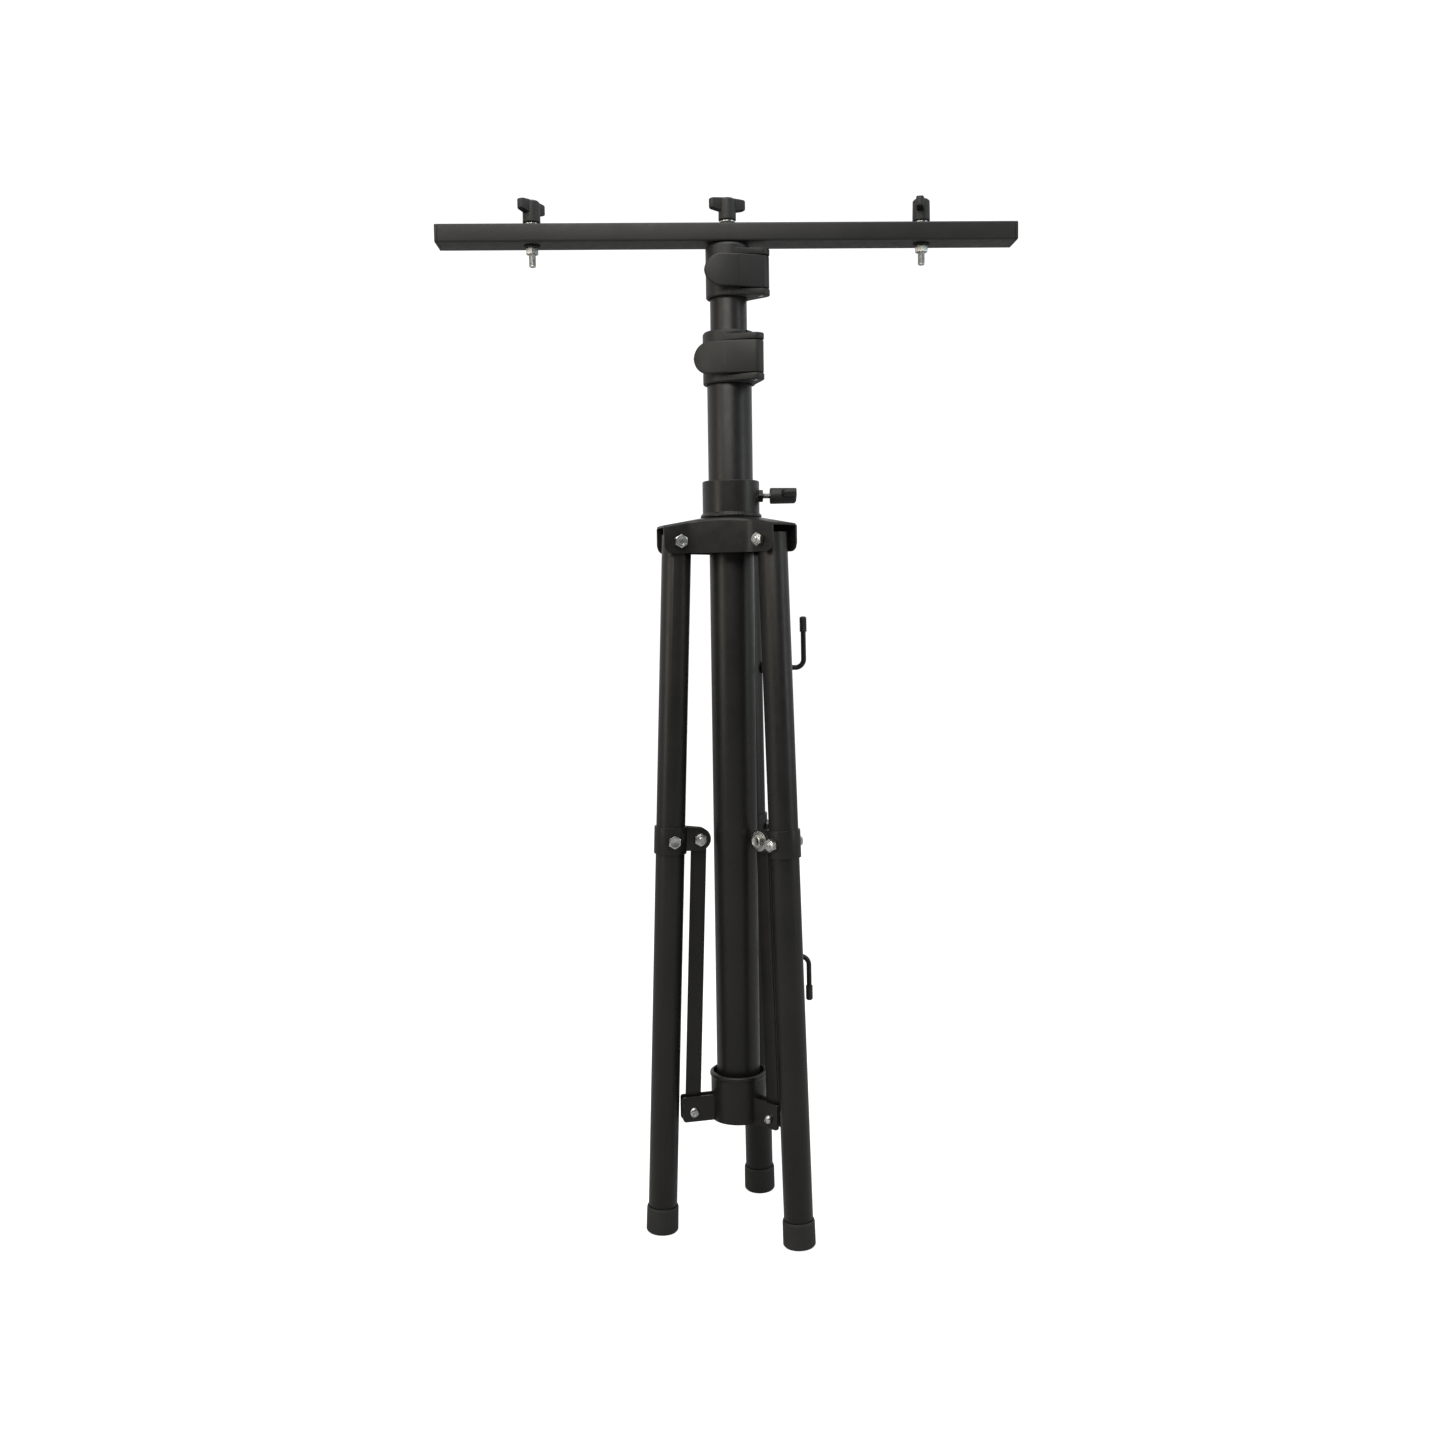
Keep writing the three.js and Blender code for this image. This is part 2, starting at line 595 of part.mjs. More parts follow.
function collarParts() {
  const bore = COLLAR_RADIUS - COLLAR_WALL;
  const roll = COLLAR_RADIUS + COLLAR_ROLL;
  let collar = turned([
    [bore, COLLAR_BOTTOM], [COLLAR_RADIUS, COLLAR_BOTTOM], [COLLAR_RADIUS, COLLAR_TOP - 6],
    [roll, COLLAR_TOP - 3], [COLLAR_RADIUS, COLLAR_TOP], [bore + 1, COLLAR_TOP], [bore, COLLAR_TOP - 1],
  ]);
  const tools = [rod(bore, COLLAR_BOTTOM - PAST, COLLAR_TOP + PAST, ROUND)];
  const low = LUG_PIVOT_HEIGHT + LUG_LOW;
  const high = LUG_PIVOT_HEIGHT + LUG_HIGH;
  const lug = polygon([
    [bore + 1, low], [LUG_END - LUG_CORNER, low], [LUG_END, low + LUG_CORNER], [LUG_END, high - 2],
    [LUG_END - 2, high], [bore + 1, high],
  ]);
  for (const azimuth of Object.values(LEG_AZIMUTHS)) {
    for (const side of [LUG_GAP / 2, -LUG_GAP / 2 - LUG_PLATE]) {
      const plate = raised(lug, side, side + LUG_PLATE).rotate([90, 0, 0]);
      collar = collar.add(plate.rotate([0, 0, azimuth]));
    }
    const screw = crossHole(LUG_SCREW_RADIUS + FIT_GAP).translate([LUG_PIVOT_RADIUS, 0, LUG_PIVOT_HEIGHT]);
    tools.push(screw.rotate([0, 0, azimuth]));
  }
  const linerTop = COLLAR_TOP - COLLAR_LINER_DEPTH;
  const liner = ring(COLUMN_RADIUS + FIT_GAP, bore - FIT_GAP, COLLAR_BOTTOM + 2, linerTop);
  return [
    mesh('bottom_collar', cut(collar, ...tools), blackPaint),
    mesh('collar_liner', liner, blackPlastic),
  ];
}

// ---- legs ---------------------------------------------------------------

// Pressed band round the leg with two arms that hold the brace, in the leg's own frame.
function legClamp() {
  const bore = LEG_RADIUS + FIT_GAP;
  const outer = bore + CLAMP_BAND;
  const band = ring(bore, outer, -CLAMP_HALF_HEIGHT, CLAMP_HALF_HEIGHT);
  const opening = box([-CROSS, -bore + 2], [-ARM_HALF_GAP, ARM_HALF_GAP], [-CROSS, CROSS]);
  const root = -LEG_RADIUS + 3;
  const arm = new THREE.Shape();
  arm.moveTo(root, -CLAMP_HALF_HEIGHT + 3);
  arm.lineTo(-ARM_REACH, ARM_RISE - ARM_END_RADIUS);
  arm.absarc(-ARM_REACH, ARM_RISE, ARM_END_RADIUS, -Math.PI / 2, Math.PI / 2, true);
  arm.lineTo(root, CLAMP_HALF_HEIGHT);
  arm.closePath();
  const plates = [ARM_HALF_GAP, -ARM_HALF_GAP - ARM_PLATE].map((side) =>
    raised(arm, side, side + ARM_PLATE, 10).rotate([90, 0, 0]));
  const boltHole = crossHole(STUD_RADIUS + FIT_GAP);
  return cut(
    joined(cut(band, opening), ...plates),
    rod(bore, -CROSS, CROSS, ROUND),
    boltHole,
    boltHole.translate([-ARM_REACH, 0, ARM_RISE]),
  );
}

function foot() {
  const outer = FOOT_RADIUS;
  const bore = LEG_RADIUS + FIT_GAP;
  return turned([
    [0, 0], [outer - FOOT_CHAMFER, 0], [outer, 2], [outer - 0.3, FOOT_HEIGHT - 2], [bore + 1.2, FOOT_HEIGHT],
    [bore, FOOT_HEIGHT], [bore, FOOT_SOLE], [0, FOOT_SOLE],
  ]);
}

// The hole for the hub bolt is wide, for the play of the linkage.
function legTube(length) {
  return cut(
    ring(LEG_RADIUS - TUBE_WALL, LEG_RADIUS, -length, LEG_ABOVE_PIVOT),
    crossHole(STUD_RADIUS + LEG_BOLT_PLAY),
    crossHole(STUD_RADIUS + FIT_GAP).translate([0, 0, -CLAMP_DROP]),
  );
}

// Brace from its lug pivot at the origin up to the leg clamp, with round ends.
function brace(length) {
  const half = BRACE_WIDTH / 2;
  const outline = new THREE.Shape();
  outline.absarc(0, 0, half, Math.PI, 0);
  outline.absarc(0, length, half, 0, Math.PI);
  outline.closePath();
  const bar = raised(outline, -BRACE_THICKNESS / 2, BRACE_THICKNESS / 2, 6).rotate([90, 0, 0]);
  return cut(
    bar,
    crossHole(LUG_SCREW_RADIUS + FIT_GAP),
    crossHole(STUD_RADIUS + FIT_GAP).translate([0, 0, length]),
  );
}

// Pan-head screw and its round nut, along Z.
function lugScrew() {
  const low = -LUG_GAP / 2 - LUG_PLATE - FIT_GAP;
  const high = -low;
  const head = [[0, high], [6, high], [6, high + 1.2], [4, high + 3.4], [0, high + 3.8]];
  const nut = [[0, low - 5], [3, low - 4.6], [5.2, low - 2.5], [5.2, low], [0, low]];
  return joined(rod(LUG_SCREW_RADIUS, low - 1, high + 1), turned(head, 12), turned(nut, 12));
}

// Rod that leaves the leg sideways and turns up or down, in the leg's own frame.
function hookRod(turn, rise) {
  const start = LEG_RADIUS + FIT_GAP;
  const corner = new THREE.Vector3(0, -HOOK_REACH, 0);
  const bendStart = new THREE.Vector3(0, -HOOK_REACH + HOOK_BEND, 0);
  const bendEnd = new THREE.Vector3(0, -HOOK_REACH, turn * HOOK_BEND);
  const path = new THREE.CurvePath();
  path.add(new THREE.LineCurve3(new THREE.Vector3(0, -start - PAST, 0), bendStart));
  path.add(new THREE.QuadraticBezierCurve3(bendStart, corner, bendEnd));
  path.add(new THREE.LineCurve3(bendEnd, new THREE.Vector3(0, -HOOK_REACH, turn * rise)));
  const settings = { extrudePath: path, steps: 18, curveSegments: 4 };
  const rodSolid = solidOf(new THREE.ExtrudeGeometry(disc(0, 0, HOOK_ROD_RADIUS), settings));
  const flareEnd = start + HOOK_FLARE_RADIUS;
  const flare = turned([
    [0, start], [HOOK_FLARE_RADIUS, start], [HOOK_FLARE_RADIUS, start + 1.5],
    [HOOK_ROD_RADIUS + 0.2, flareEnd], [0, flareEnd],
  ], SMALL_ROUND);
  return joined(rodSolid, alongY(flare));
}

// Cap on a hook's end, open at z = 0.
function hookTip() {
  const bore = HOOK_ROD_RADIUS + FIT_GAP;
  const tip = HOOK_TIP_RADIUS;
  const length = HOOK_TIP_LENGTH;
  return turned([
    [bore, 0], [tip, 0], [tip, length - 3], [tip - 1.5, length - 0.8], [0, length],
    [0, length / 2], [bore, length / 2],
  ], SMALL_ROUND);
}

function hookParts(name, height, turn, rise) {
  const bare = rise - HOOK_TIP_LENGTH;
  const rodLength = rise - HOOK_TIP_LENGTH / 2 - PAST;
  const hook = mesh(`cable_hook_${name}`, hookRod(turn, rodLength), blackPaint);
  const cap = mesh(`hook_tip_${name}`, hookTip(), blackPlastic);
  cap.position.set(0, -HOOK_REACH, turn * bare);
  cap.rotation.x = turn > 0 ? 0 : Math.PI;
  const group = new THREE.Group();
  group.add(hook, cap);
  group.position.z = height;
  return group;
}

// Bolt across a leg's plane, through pieces that reach the given distance to each side.
function crossBolt(name, halfGrip) {
  const grip = halfGrip + FIT_GAP;
  return mesh(name, alongY(boltWithNut(STUD_RADIUS, NUT_FLATS, -grip, grip)), brightZinc);
}

function legParts(side, azimuth) {
  const splay = THREE.MathUtils.degToRad(LEG_SPLAY);
  const soleEdge = (FOOT_RADIUS - FOOT_CHAMFER) * Math.sin(splay);
  const soleDistance = (HUB_PIVOT_HEIGHT - soleEdge) / Math.cos(splay);
  const leg = mesh(`leg_${side}`, legTube(soleDistance - FOOT_SOLE - FIT_GAP), blackPaint);
  const cap = mesh(`foot_${side}`, foot(), blackRubber);
  cap.position.z = -soleDistance;
  const clamp = mesh(`leg_clamp_${side}`, legClamp(), blackPaint);
  clamp.position.z = -CLAMP_DROP;
  const clampBolt = crossBolt(`leg_clamp_bolt_${side}`, LEG_RADIUS + FIT_GAP + CLAMP_BAND);
  clampBolt.position.z = -CLAMP_DROP;
  clampBolt.rotation.z = Math.PI;
  const braceBolt = crossBolt(`brace_bolt_${side}`, ARM_HALF_GAP + ARM_PLATE);
  braceBolt.position.set(-ARM_REACH, 0, ARM_RISE - CLAMP_DROP);
  const tilted = new THREE.Group();
  tilted.add(leg, cap, clamp, clampBolt, braceBolt);
  if (side === 'rear') {
    tilted.add(hookParts('upper', -HOOK_UPPER_DROP, 1, HOOK_UPPER_RISE));
    tilted.add(hookParts('lower', -HOOK_LOWER_DROP, -1, HOOK_LOWER_RISE));
  }
  tilted.position.set(HUB_PIVOT_RADIUS, 0, HUB_PIVOT_HEIGHT);
  tilted.rotation.y = -splay;
  const hubBolt = crossBolt(`hub_bolt_${side}`, HUB_EAR_INSIDE + HUB_PLATE);
  hubBolt.rotation.z = Math.PI;
  hubBolt.position.set(HUB_PIVOT_RADIUS, 0, HUB_PIVOT_HEIGHT);
  const plane = new THREE.Group();
  plane.add(tilted, hubBolt, ...braceParts(side, splay));
  plane.rotation.z = THREE.MathUtils.degToRad(azimuth);
  return plane;
}

// Brace and lug screw: the brace runs from the lug pivot to where the leg clamp's arms are.
function braceParts(side, splay) {
  const lug = new THREE.Vector2(LUG_PIVOT_RADIUS, LUG_PIVOT_HEIGHT);
  const arm = new THREE.Vector2(-ARM_REACH, ARM_RISE - CLAMP_DROP)
    .rotateAround(new THREE.Vector2(), splay)
    .add(new THREE.Vector2(HUB_PIVOT_RADIUS, HUB_PIVOT_HEIGHT));
  const span = arm.clone().sub(lug);
  const bar = mesh(`brace_${side}`, brace(span.length()), blackPaint);
  bar.position.set(lug.x, 0, lug.y);
  bar.rotation.y = Math.atan2(span.x, span.y);
  const screw = mesh(`lug_screw_${side}`, alongY(lugScrew()), brightZinc);
  screw.rotation.z = Math.PI;
  screw.position.set(lug.x, 0, lug.y);
  return [bar, screw];
}

// ---- assembly -----------------------------------------------------------

const stand = new THREE.Group();
stand.add(...columnParts());
stand.add(clampParts('lower', COLUMN_RADIUS, MID_RADIUS, LOWER_CLAMP_BOTTOM, LOWER_CLAMP_AZIMUTH));
stand.add(clampParts('upper', MID_RADIUS, TOP_RADIUS, UPPER_CLAMP_BOTTOM, UPPER_CLAMP_AZIMUTH));
const tbar = new THREE.Group();
tbar.add(...tbarParts());
tbar.position.z = TBAR_UNDERSIDE;
stand.add(tbar, ...hubParts(), thumbScrewParts(), ...collarParts());
for (const [side, azimuth] of Object.entries(LEG_AZIMUTHS)) stand.add(legParts(side, azimuth));

// The origin is the middle of the footprint, on the surface the feet stand on.
stand.updateMatrixWorld(true);
const bounds = new THREE.Box3().setFromObject(stand, true);
const middle = bounds.getCenter(new THREE.Vector3());
stand.position.set(-middle.x, -middle.y, -bounds.min.z);

export default stand;
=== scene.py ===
import json
from math import acos, asin, atan2, cos, pi, radians, sin, sqrt, tan

import bmesh
import bpy
from mathutils import Matrix, Vector

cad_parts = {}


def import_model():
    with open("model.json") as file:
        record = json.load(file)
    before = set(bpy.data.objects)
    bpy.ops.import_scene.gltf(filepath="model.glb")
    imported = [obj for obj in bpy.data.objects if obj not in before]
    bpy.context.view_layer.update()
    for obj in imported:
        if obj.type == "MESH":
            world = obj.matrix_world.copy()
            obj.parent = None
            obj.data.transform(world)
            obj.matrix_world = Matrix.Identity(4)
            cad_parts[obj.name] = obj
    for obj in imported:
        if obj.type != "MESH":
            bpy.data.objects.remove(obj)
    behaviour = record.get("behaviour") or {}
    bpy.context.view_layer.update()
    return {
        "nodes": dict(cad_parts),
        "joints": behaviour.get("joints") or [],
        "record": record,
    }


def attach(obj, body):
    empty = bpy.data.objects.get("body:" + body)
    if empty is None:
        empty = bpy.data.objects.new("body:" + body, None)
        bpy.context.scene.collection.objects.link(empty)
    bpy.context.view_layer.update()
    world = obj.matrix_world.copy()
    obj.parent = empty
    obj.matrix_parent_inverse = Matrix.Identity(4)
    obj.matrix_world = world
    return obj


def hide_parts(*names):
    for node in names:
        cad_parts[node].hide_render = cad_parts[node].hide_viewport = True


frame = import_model()

MM = 0.001
UP = Vector((0, 0, 1))
# Turns that lay a local Z axis along -Y and along +X.
ALONG_Y = Matrix.Rotation(pi / 2, 4, "X")
ALONG_X = Matrix.Rotation(pi / 2, 4, "Y")
record = frame["record"]
joints = {j["name"]: j for j in frame["joints"]}
mounts = {m["name"]: m for m in record["mounts"]}

# ---- places, read off the frame -------------------------------------------

SIDES = ("left", "right", "rear")
LUG_JOINTS = {"left": "legs_spread", "right": "brace_right_swing", "rear": "brace_rear_swing"}
axis_xy = Vector(joints["tbar_swivel"]["pos_m"][:2])
hub_pivot = Vector(joints["hub_level"]["pos_m"])
hub_radius = (hub_pivot.xy - axis_xy).length


def basis(origin, x, y, z):
    """Local frame from an origin in metres and three unit axes."""
    return Matrix((
        (x[0], y[0], z[0], origin[0]),
        (x[1], y[1], z[1], origin[1]),
        (x[2], y[2], z[2], origin[2]),
        (0, 0, 0, 1),
    ))


def outward(side):
    across = joints[f"leg_{side}_swing"]["axis"]
    return Vector((across[1], -across[0], 0)).normalized()


def upright_frame(side, origin):
    out = outward(side)
    return basis(origin, out, UP.cross(out), UP)


def hub_bolt_place(side):
    out = outward(side)
    return upright_frame(side, Vector((axis_xy.x, axis_xy.y, hub_pivot.z)) + out * hub_radius)


def leg_frame(side):
    """Leg's own frame: origin on the hub bolt, Z up along the tube, X outward."""
    up = -Vector(mounts[f"foot_{side}_sole"]["axis"]).normalized()
    across = UP.cross(outward(side))
    return basis(hub_bolt_place(side).translation, across.cross(up), across, up)


def span(node, place):
    """Lowest and highest corner of a CAD node in a local frame, in mm."""
    back = place.inverted()
    points = [back @ v.co for v in frame["nodes"][node].data.vertices]
    low = Vector([min(p[i] for p in points) / MM for i in range(3)])
    high = Vector([max(p[i] for p in points) / MM for i in range(3)])
    return low, high


def moved(place, x=0, y=0, z=0):
    return place @ Matrix.Translation(Vector((x, y, z)) * MM)


column = basis((axis_xy.x, axis_xy.y, 0), (1, 0, 0), (0, 1, 0), UP)

# ---- mesh building, in mm ---------------------------------------------------

def closed_mesh(name, verts, faces):
    data = bpy.data.meshes.new(name)
    data.from_pydata([tuple(c * MM for c in v) for v in verts], [], faces)
    bm = bmesh.new()
    bm.from_mesh(data)
    bmesh.ops.remove_doubles(bm, verts=bm.verts, dist=1e-7)
    bmesh.ops.recalc_face_normals(bm, faces=bm.faces)
    bm.to_mesh(data)
    bm.free()
    obj = bpy.data.objects.new(name, data)
    bpy.context.scene.collection.objects.link(obj)
    return obj


def loft(name, loops, ring=False):
    """Mesh through loops of the same length. With ring, the last loop joins the first."""
    count = len(loops[0])
    faces = []
    for i in range(len(loops) if ring else len(loops) - 1):
        a, b = i * count, (i + 1) % len(loops) * count
        for k in range(count):
            n = (k + 1) % count
            faces.append((a + k, a + n, b + n, b + k))
    if not ring:
        last = (len(loops) - 1) * count
        faces.append(tuple(reversed(range(count))))
        faces.append(tuple(last + k for k in range(count)))
    return closed_mesh(name, [p for loop in loops for p in loop], faces)


def circle(radius, z, count=96):
    return [(radius * cos(2 * pi * k / count), radius * sin(2 * pi * k / count), z) for k in range(count)]


def fillet(points, radius, steps=4, closed=True):
    """Rounds the corners of a 2-D outline. A point may carry its own radius as a third number."""
    out = []
    n = len(points)
    for i, p in enumerate(points):
        here = Vector(p[:2])
        r = p[2] if len(p) > 2 else radius
        a = Vector(points[i - 1][:2]) - here
        b = Vector(points[(i + 1) % n][:2]) - here
        ends = not closed and i in (0, n - 1)
        if ends or r <= 0 or a.length < 1e-6 or b.length < 1e-6:
            out.append(tuple(here))
            continue
        angle = a.angle(b)
        if angle > pi - 0.02 or angle < 0.02:
            out.append(tuple(here))
            continue
        cutback = min(r / tan(angle / 2), a.length * 0.49, b.length * 0.49)
        r = cutback * tan(angle / 2)
        middle = here + (a.normalized() + b.normalized()).normalized() * (r / sin(angle / 2))
        start = here + a.normalized() * cutback - middle
        end = here + b.normalized() * cutback - middle
        a0 = atan2(start.y, start.x)
        turn = (atan2(end.y, end.x) - a0 + pi) % (2 * pi) - pi
        for k in range(steps + 1):
            t = a0 + turn * k / steps
            out.append((middle.x + r * cos(t), middle.y + r * sin(t)))
    return out


def lathe(name, profile, radius=0.6, count=96):
    """Turned ring from a closed (radius, z) outline with rounded corners."""
    return loft(name, [circle(r, z, count) for r, z in fillet(profile, radius)], ring=True)


def turned(name, profile, radius=0.6, count=64):
    """Turned solid from a (radius, z) outline that starts and ends on the axis."""
    points = fillet(profile, radius, closed=False)
    return loft(name, [circle(max(r, 0.01), z, count) for r, z in points])


def inset(points, distance):
    """Anticlockwise outline moved inward."""
    out = []
    n = len(points)
    for i, p in enumerate(points):
        here = Vector(p)
        e1 = here - Vector(points[i - 1])
        e2 = Vector(points[(i + 1) % n]) - here
        if e1.length < 1e-7:
            e1 = e2
        if e2.length < 1e-7:
            e2 = e1
        n1 = Vector((-e1.y, e1.x)).normalized()
        m = n1 + Vector((-e2.y, e2.x)).normalized()
        m = m.normalized() if m.length > 1e-6 else n1
        out.append(tuple(here + m * (distance / max(0.4, m.dot(n1)))))
    return out


def edge_steps(edge, steps=3):
    """(inset, rise) pairs of a quarter round, from the flat face to the side."""
    return [(edge * (1 - sin(pi / 2 * k / steps)), edge * (1 - cos(pi / 2 * k / steps)))
            for k in range(steps + 1)]


def plate(name, outline, low, high, edge=0.5):
    """Flat piece with rounded rims, from an anticlockwise outline, between two heights."""
    loops = [[(x, y, low + rise) for x, y in inset(outline, pull)] for pull, rise in edge_steps(edge)]
    loops += [[(x, y, high - rise) for x, y in inset(outline, pull)]
              for pull, rise in reversed(edge_steps(edge))]
    return loft(name, loops)


def tube(name, outline, wall, low, high, edge=0.3):
    """Straight tube of any outline with rounded rims, along Z."""
    inner = inset(outline, wall)
    loops = []
    for pull, rise in edge_steps(edge, 2):
        loops.append([(x, y, low + rise) for x, y in inset(outline, pull)])
    for pull, rise in reversed(edge_steps(edge, 2)):
        loops.append([(x, y, high - rise) for x, y in inset(outline, pull)])
    loops.append([(x, y, high) for x, y in inner])
    loops.append([(x, y, low) for x, y in inner])
    return loft(name, loops, ring=True)


def rounded_rectangle(x, y, radius):
    return fillet([(-x, -y), (x, -y), (x, y), (-x, y)], radius, 5)


def with_solids(obj, others, operation):
    """Joins the others to obj or cuts them from it. Each is (object, matrix relative to obj)."""
    for other, place in others:
        other.data.transform(place)
        step = obj.modifiers.new(operation, "BOOLEAN")
        step.operation = operation
        step.solver = "EXACT"
        step.object = other
    baked = bpy.data.meshes.new_from_object(obj.evaluated_get(bpy.context.evaluated_depsgraph_get()))
    obj.modifiers.clear()
    obj.data = baked
    for other, place in others:
        bpy.data.objects.remove(other)
    return obj


def joined(obj, *others):
    return with_solids(obj, others, "UNION")


def cut(obj, *others):
    return with_solids(obj, others, "DIFFERENCE")


def here(x=0, y=0, z=0):
    return Matrix.Translation(Vector((x, y, z)) * MM)


def drill(radius, low, high, place=Matrix.Identity(4), count=32):
    return loft("drill", [circle(radius, low, count), circle(radius, high, count)]), place



# Hex and round sections of a fastener share this many points round.
BOLT_POINTS = 48


def hex_radius(flats, k):
    angle = (2 * pi * k / BOLT_POINTS + pi / 6) % (pi / 3) - pi / 6
    return flats / 2 / cos(angle)


def hex_loop(flats, z, lift=0):
    """Hexagon whose corners stand lift / 0.577 beyond a chamfer cone that meets z at the flats."""
    loop = []
    for k in range(BOLT_POINTS):
        r = hex_radius(flats, k)
        drop = (r - flats / 2) * 0.577 * lift
        loop.append((r * cos(2 * pi * k / BOLT_POINTS), r * sin(2 * pi * k / BOLT_POINTS), z + drop))
    return loop


def hexagon(flats, low, high):
    """Loops of a hexagon with a turned chamfer at both ends."""
    rim = flats / 2 - 0.25
    return [
        circle(rim, low, BOLT_POINTS),
        hex_loop(flats, low + 0.14, 1),
        hex_loop(flats, high - 0.14, -1),
        circle(rim, high, BOLT_POINTS),
    ]


def thread(radius, low, high, pitch=1.25):
    """Loops of a threaded shank, from low to high, with plain chamfered ends."""
    per_turn = 6
    rows = max(2, int((high - low) / pitch * per_turn))
    depth = pitch * 0.45
    loops = []
    for i in range(rows + 1):
        z = low + (high - low) * i / rows
        fade = min(1, (z - low) / pitch, (high - z) / pitch)
        loop = []
        for k in range(BOLT_POINTS):
            phase = ((z - low) / pitch - k / BOLT_POINTS) % 1
            groove = abs(phase - 0.5) * 2
            r = radius - depth * groove * fade - (1 - fade) * depth * 0.8
            loop.append((r * cos(2 * pi * k / BOLT_POINTS), r * sin(2 * pi * k / BOLT_POINTS), z))
        loops.append(loop)
    return loops


def bolt(name, radius, flats, grip_low, grip_high, nut_bottom):
    """Hex bolt with a washer face, and a lock nut with its collar run on at the low end."""
    head = radius * 1.35
    nut_top = grip_low
    loops = [circle(0.01, nut_bottom, BOLT_POINTS), circle(radius - 0.9, nut_bottom, BOLT_POINTS)]
    collar = nut_top - radius * 1.9
    loops += thread(radius, nut_bottom + 0.3, collar - 0.1)
    loops += [
        circle(radius + 0.3, collar, BOLT_POINTS),
        circle(flats / 2 - 1.5, collar, BOLT_POINTS),
        circle(flats / 2 - 0.9, collar + 0.3, BOLT_POINTS),
        circle(flats / 2 - 0.6, collar + 1.7, BOLT_POINTS),
    ]
    loops += hexagon(flats, collar + 1.8, nut_top)
    loops += [circle(radius, nut_top, BOLT_POINTS), circle(radius, grip_high, BOLT_POINTS)]
    face = flats / 2 - 0.4
    loops += [circle(face, grip_high, BOLT_POINTS), circle(face, grip_high + 0.3, BOLT_POINTS)]
    loops += hexagon(flats, grip_high + 0.3, grip_high + head)
    loops += [
        circle(flats / 2 - 1.6, grip_high + head, BOLT_POINTS),
        circle(flats / 2 - 2.1, grip_high + head - 0.25, BOLT_POINTS),
        circle(0.01, grip_high + head - 0.25, BOLT_POINTS),
    ]
    return loft(name, loops)

# ---- materials --------------------------------------------------------------

class Look:
    """Node material with a Principled shader, in the object's own metre coordinates."""

    def __init__(self, name):
        self.material = bpy.data.materials.new(name)
        self.material.use_nodes = True
        self.tree = self.material.node_tree
        self.shader = self.tree.nodes["Principled BSDF"]
        self.place = self.tree.nodes.new("ShaderNodeTexCoord").outputs["Object"]

    def node(self, kind, inputs=(), **settings):
        node = self.tree.nodes.new(kind)
        for key, value in settings.items():
            setattr(node, key, value)
        for socket, value in dict(inputs).items():
            if isinstance(value, bpy.types.NodeSocket):
                self.tree.links.new(value, node.inputs[socket])
            else:
                node.inputs[socket].default_value = value
        return node

    def noise(self, scale, detail=2.0, rough=0.5, stretch=None):
        vector = self.place
        if stretch:
            vector = self.node("ShaderNodeMapping", {"Vector": vector, "Scale": stretch}).outputs[0]
        inputs = {"Vector": vector, "Scale": scale, "Detail": detail, "Roughness": rough}
        return self.node("ShaderNodeTexNoise", inputs).outputs["Fac"]

    def speckle(self, scale):
        return self.node("ShaderNodeTexVoronoi", {"Vector": self.place, "Scale": scale}).outputs["Distance"]

    def ranged(self, value, low, high, out_low, out_high):
        inputs = {"Value": value, "From Min": low, "From Max": high, "To Min": out_low, "To Max": out_high}
        return self.node("ShaderNodeMapRange", inputs).outputs["Result"]

    def mixed(self, factor, a, b):
        node = self.tree.nodes.new("ShaderNodeMix")
        node.data_type = "RGBA"
        self.tree.links.new(factor, node.inputs[0])
        for socket, value in ((node.inputs[6], a), (node.inputs[7], b)):
            if isinstance(value, bpy.types.NodeSocket):
                self.tree.links.new(value, socket)
            else:
                socket.default_value = (*value, 1)
        return node.outputs[2]

    def bumped(self, height, strength, distance, normal=None):
        inputs = {"Height": height, "Strength": strength, "Distance": distance}
        if normal is not None:
            inputs["Normal"] = normal
        return self.node("ShaderNodeBump", inputs).outputs["Normal"]

    def finish(self, color, roughness, normal, metallic=0.0, specular=0.5, coat=0.0):
        shader = self.shader.inputs
        self.tree.links.new(color, shader["Base Color"])
        self.tree.links.new(roughness, shader["Roughness"])
        self.tree.links.new(normal, shader["Normal"])
        shader["Metallic"].default_value = metallic
        shader["Specular IOR Level"].default_value = specular
        shader["Coat Weight"].default_value = coat
        shader["Coat Roughness"].default_value = 0.25
        return self.material


def powder_coat(name, dark, light, rough_low, rough_high):
    look = Look(name)
    cloud = look.noise(14, 3)
    grain = look.noise(1400, 3, 0.6)
    peel = look.noise(420, 2)
    scuff = look.ranged(look.noise(60, 6, 0.7, (1, 1, 0.25)), 0.62, 0.76, 0, 1)
    tone = look.mixed(look.ranged(cloud, 0.35, 0.65, 0, 1), dark, light)
    tone = look.mixed(look.ranged(grain, 0.55, 0.8, 0, 0.5), tone, tuple(c * 1.9 for c in light))
    tone = look.mixed(look.ranged(scuff, 0, 1, 0, 0.25), tone, tuple(c * 2.4 for c in light))
    rough = look.ranged(look.noise(90, 4), 0.3, 0.7, rough_low, rough_high)
    normal = look.bumped(peel, 0.22, 0.0002)
    normal = look.bumped(grain, 0.35, 0.00012, normal)
    return look.finish(tone, rough, normal, specular=0.35)


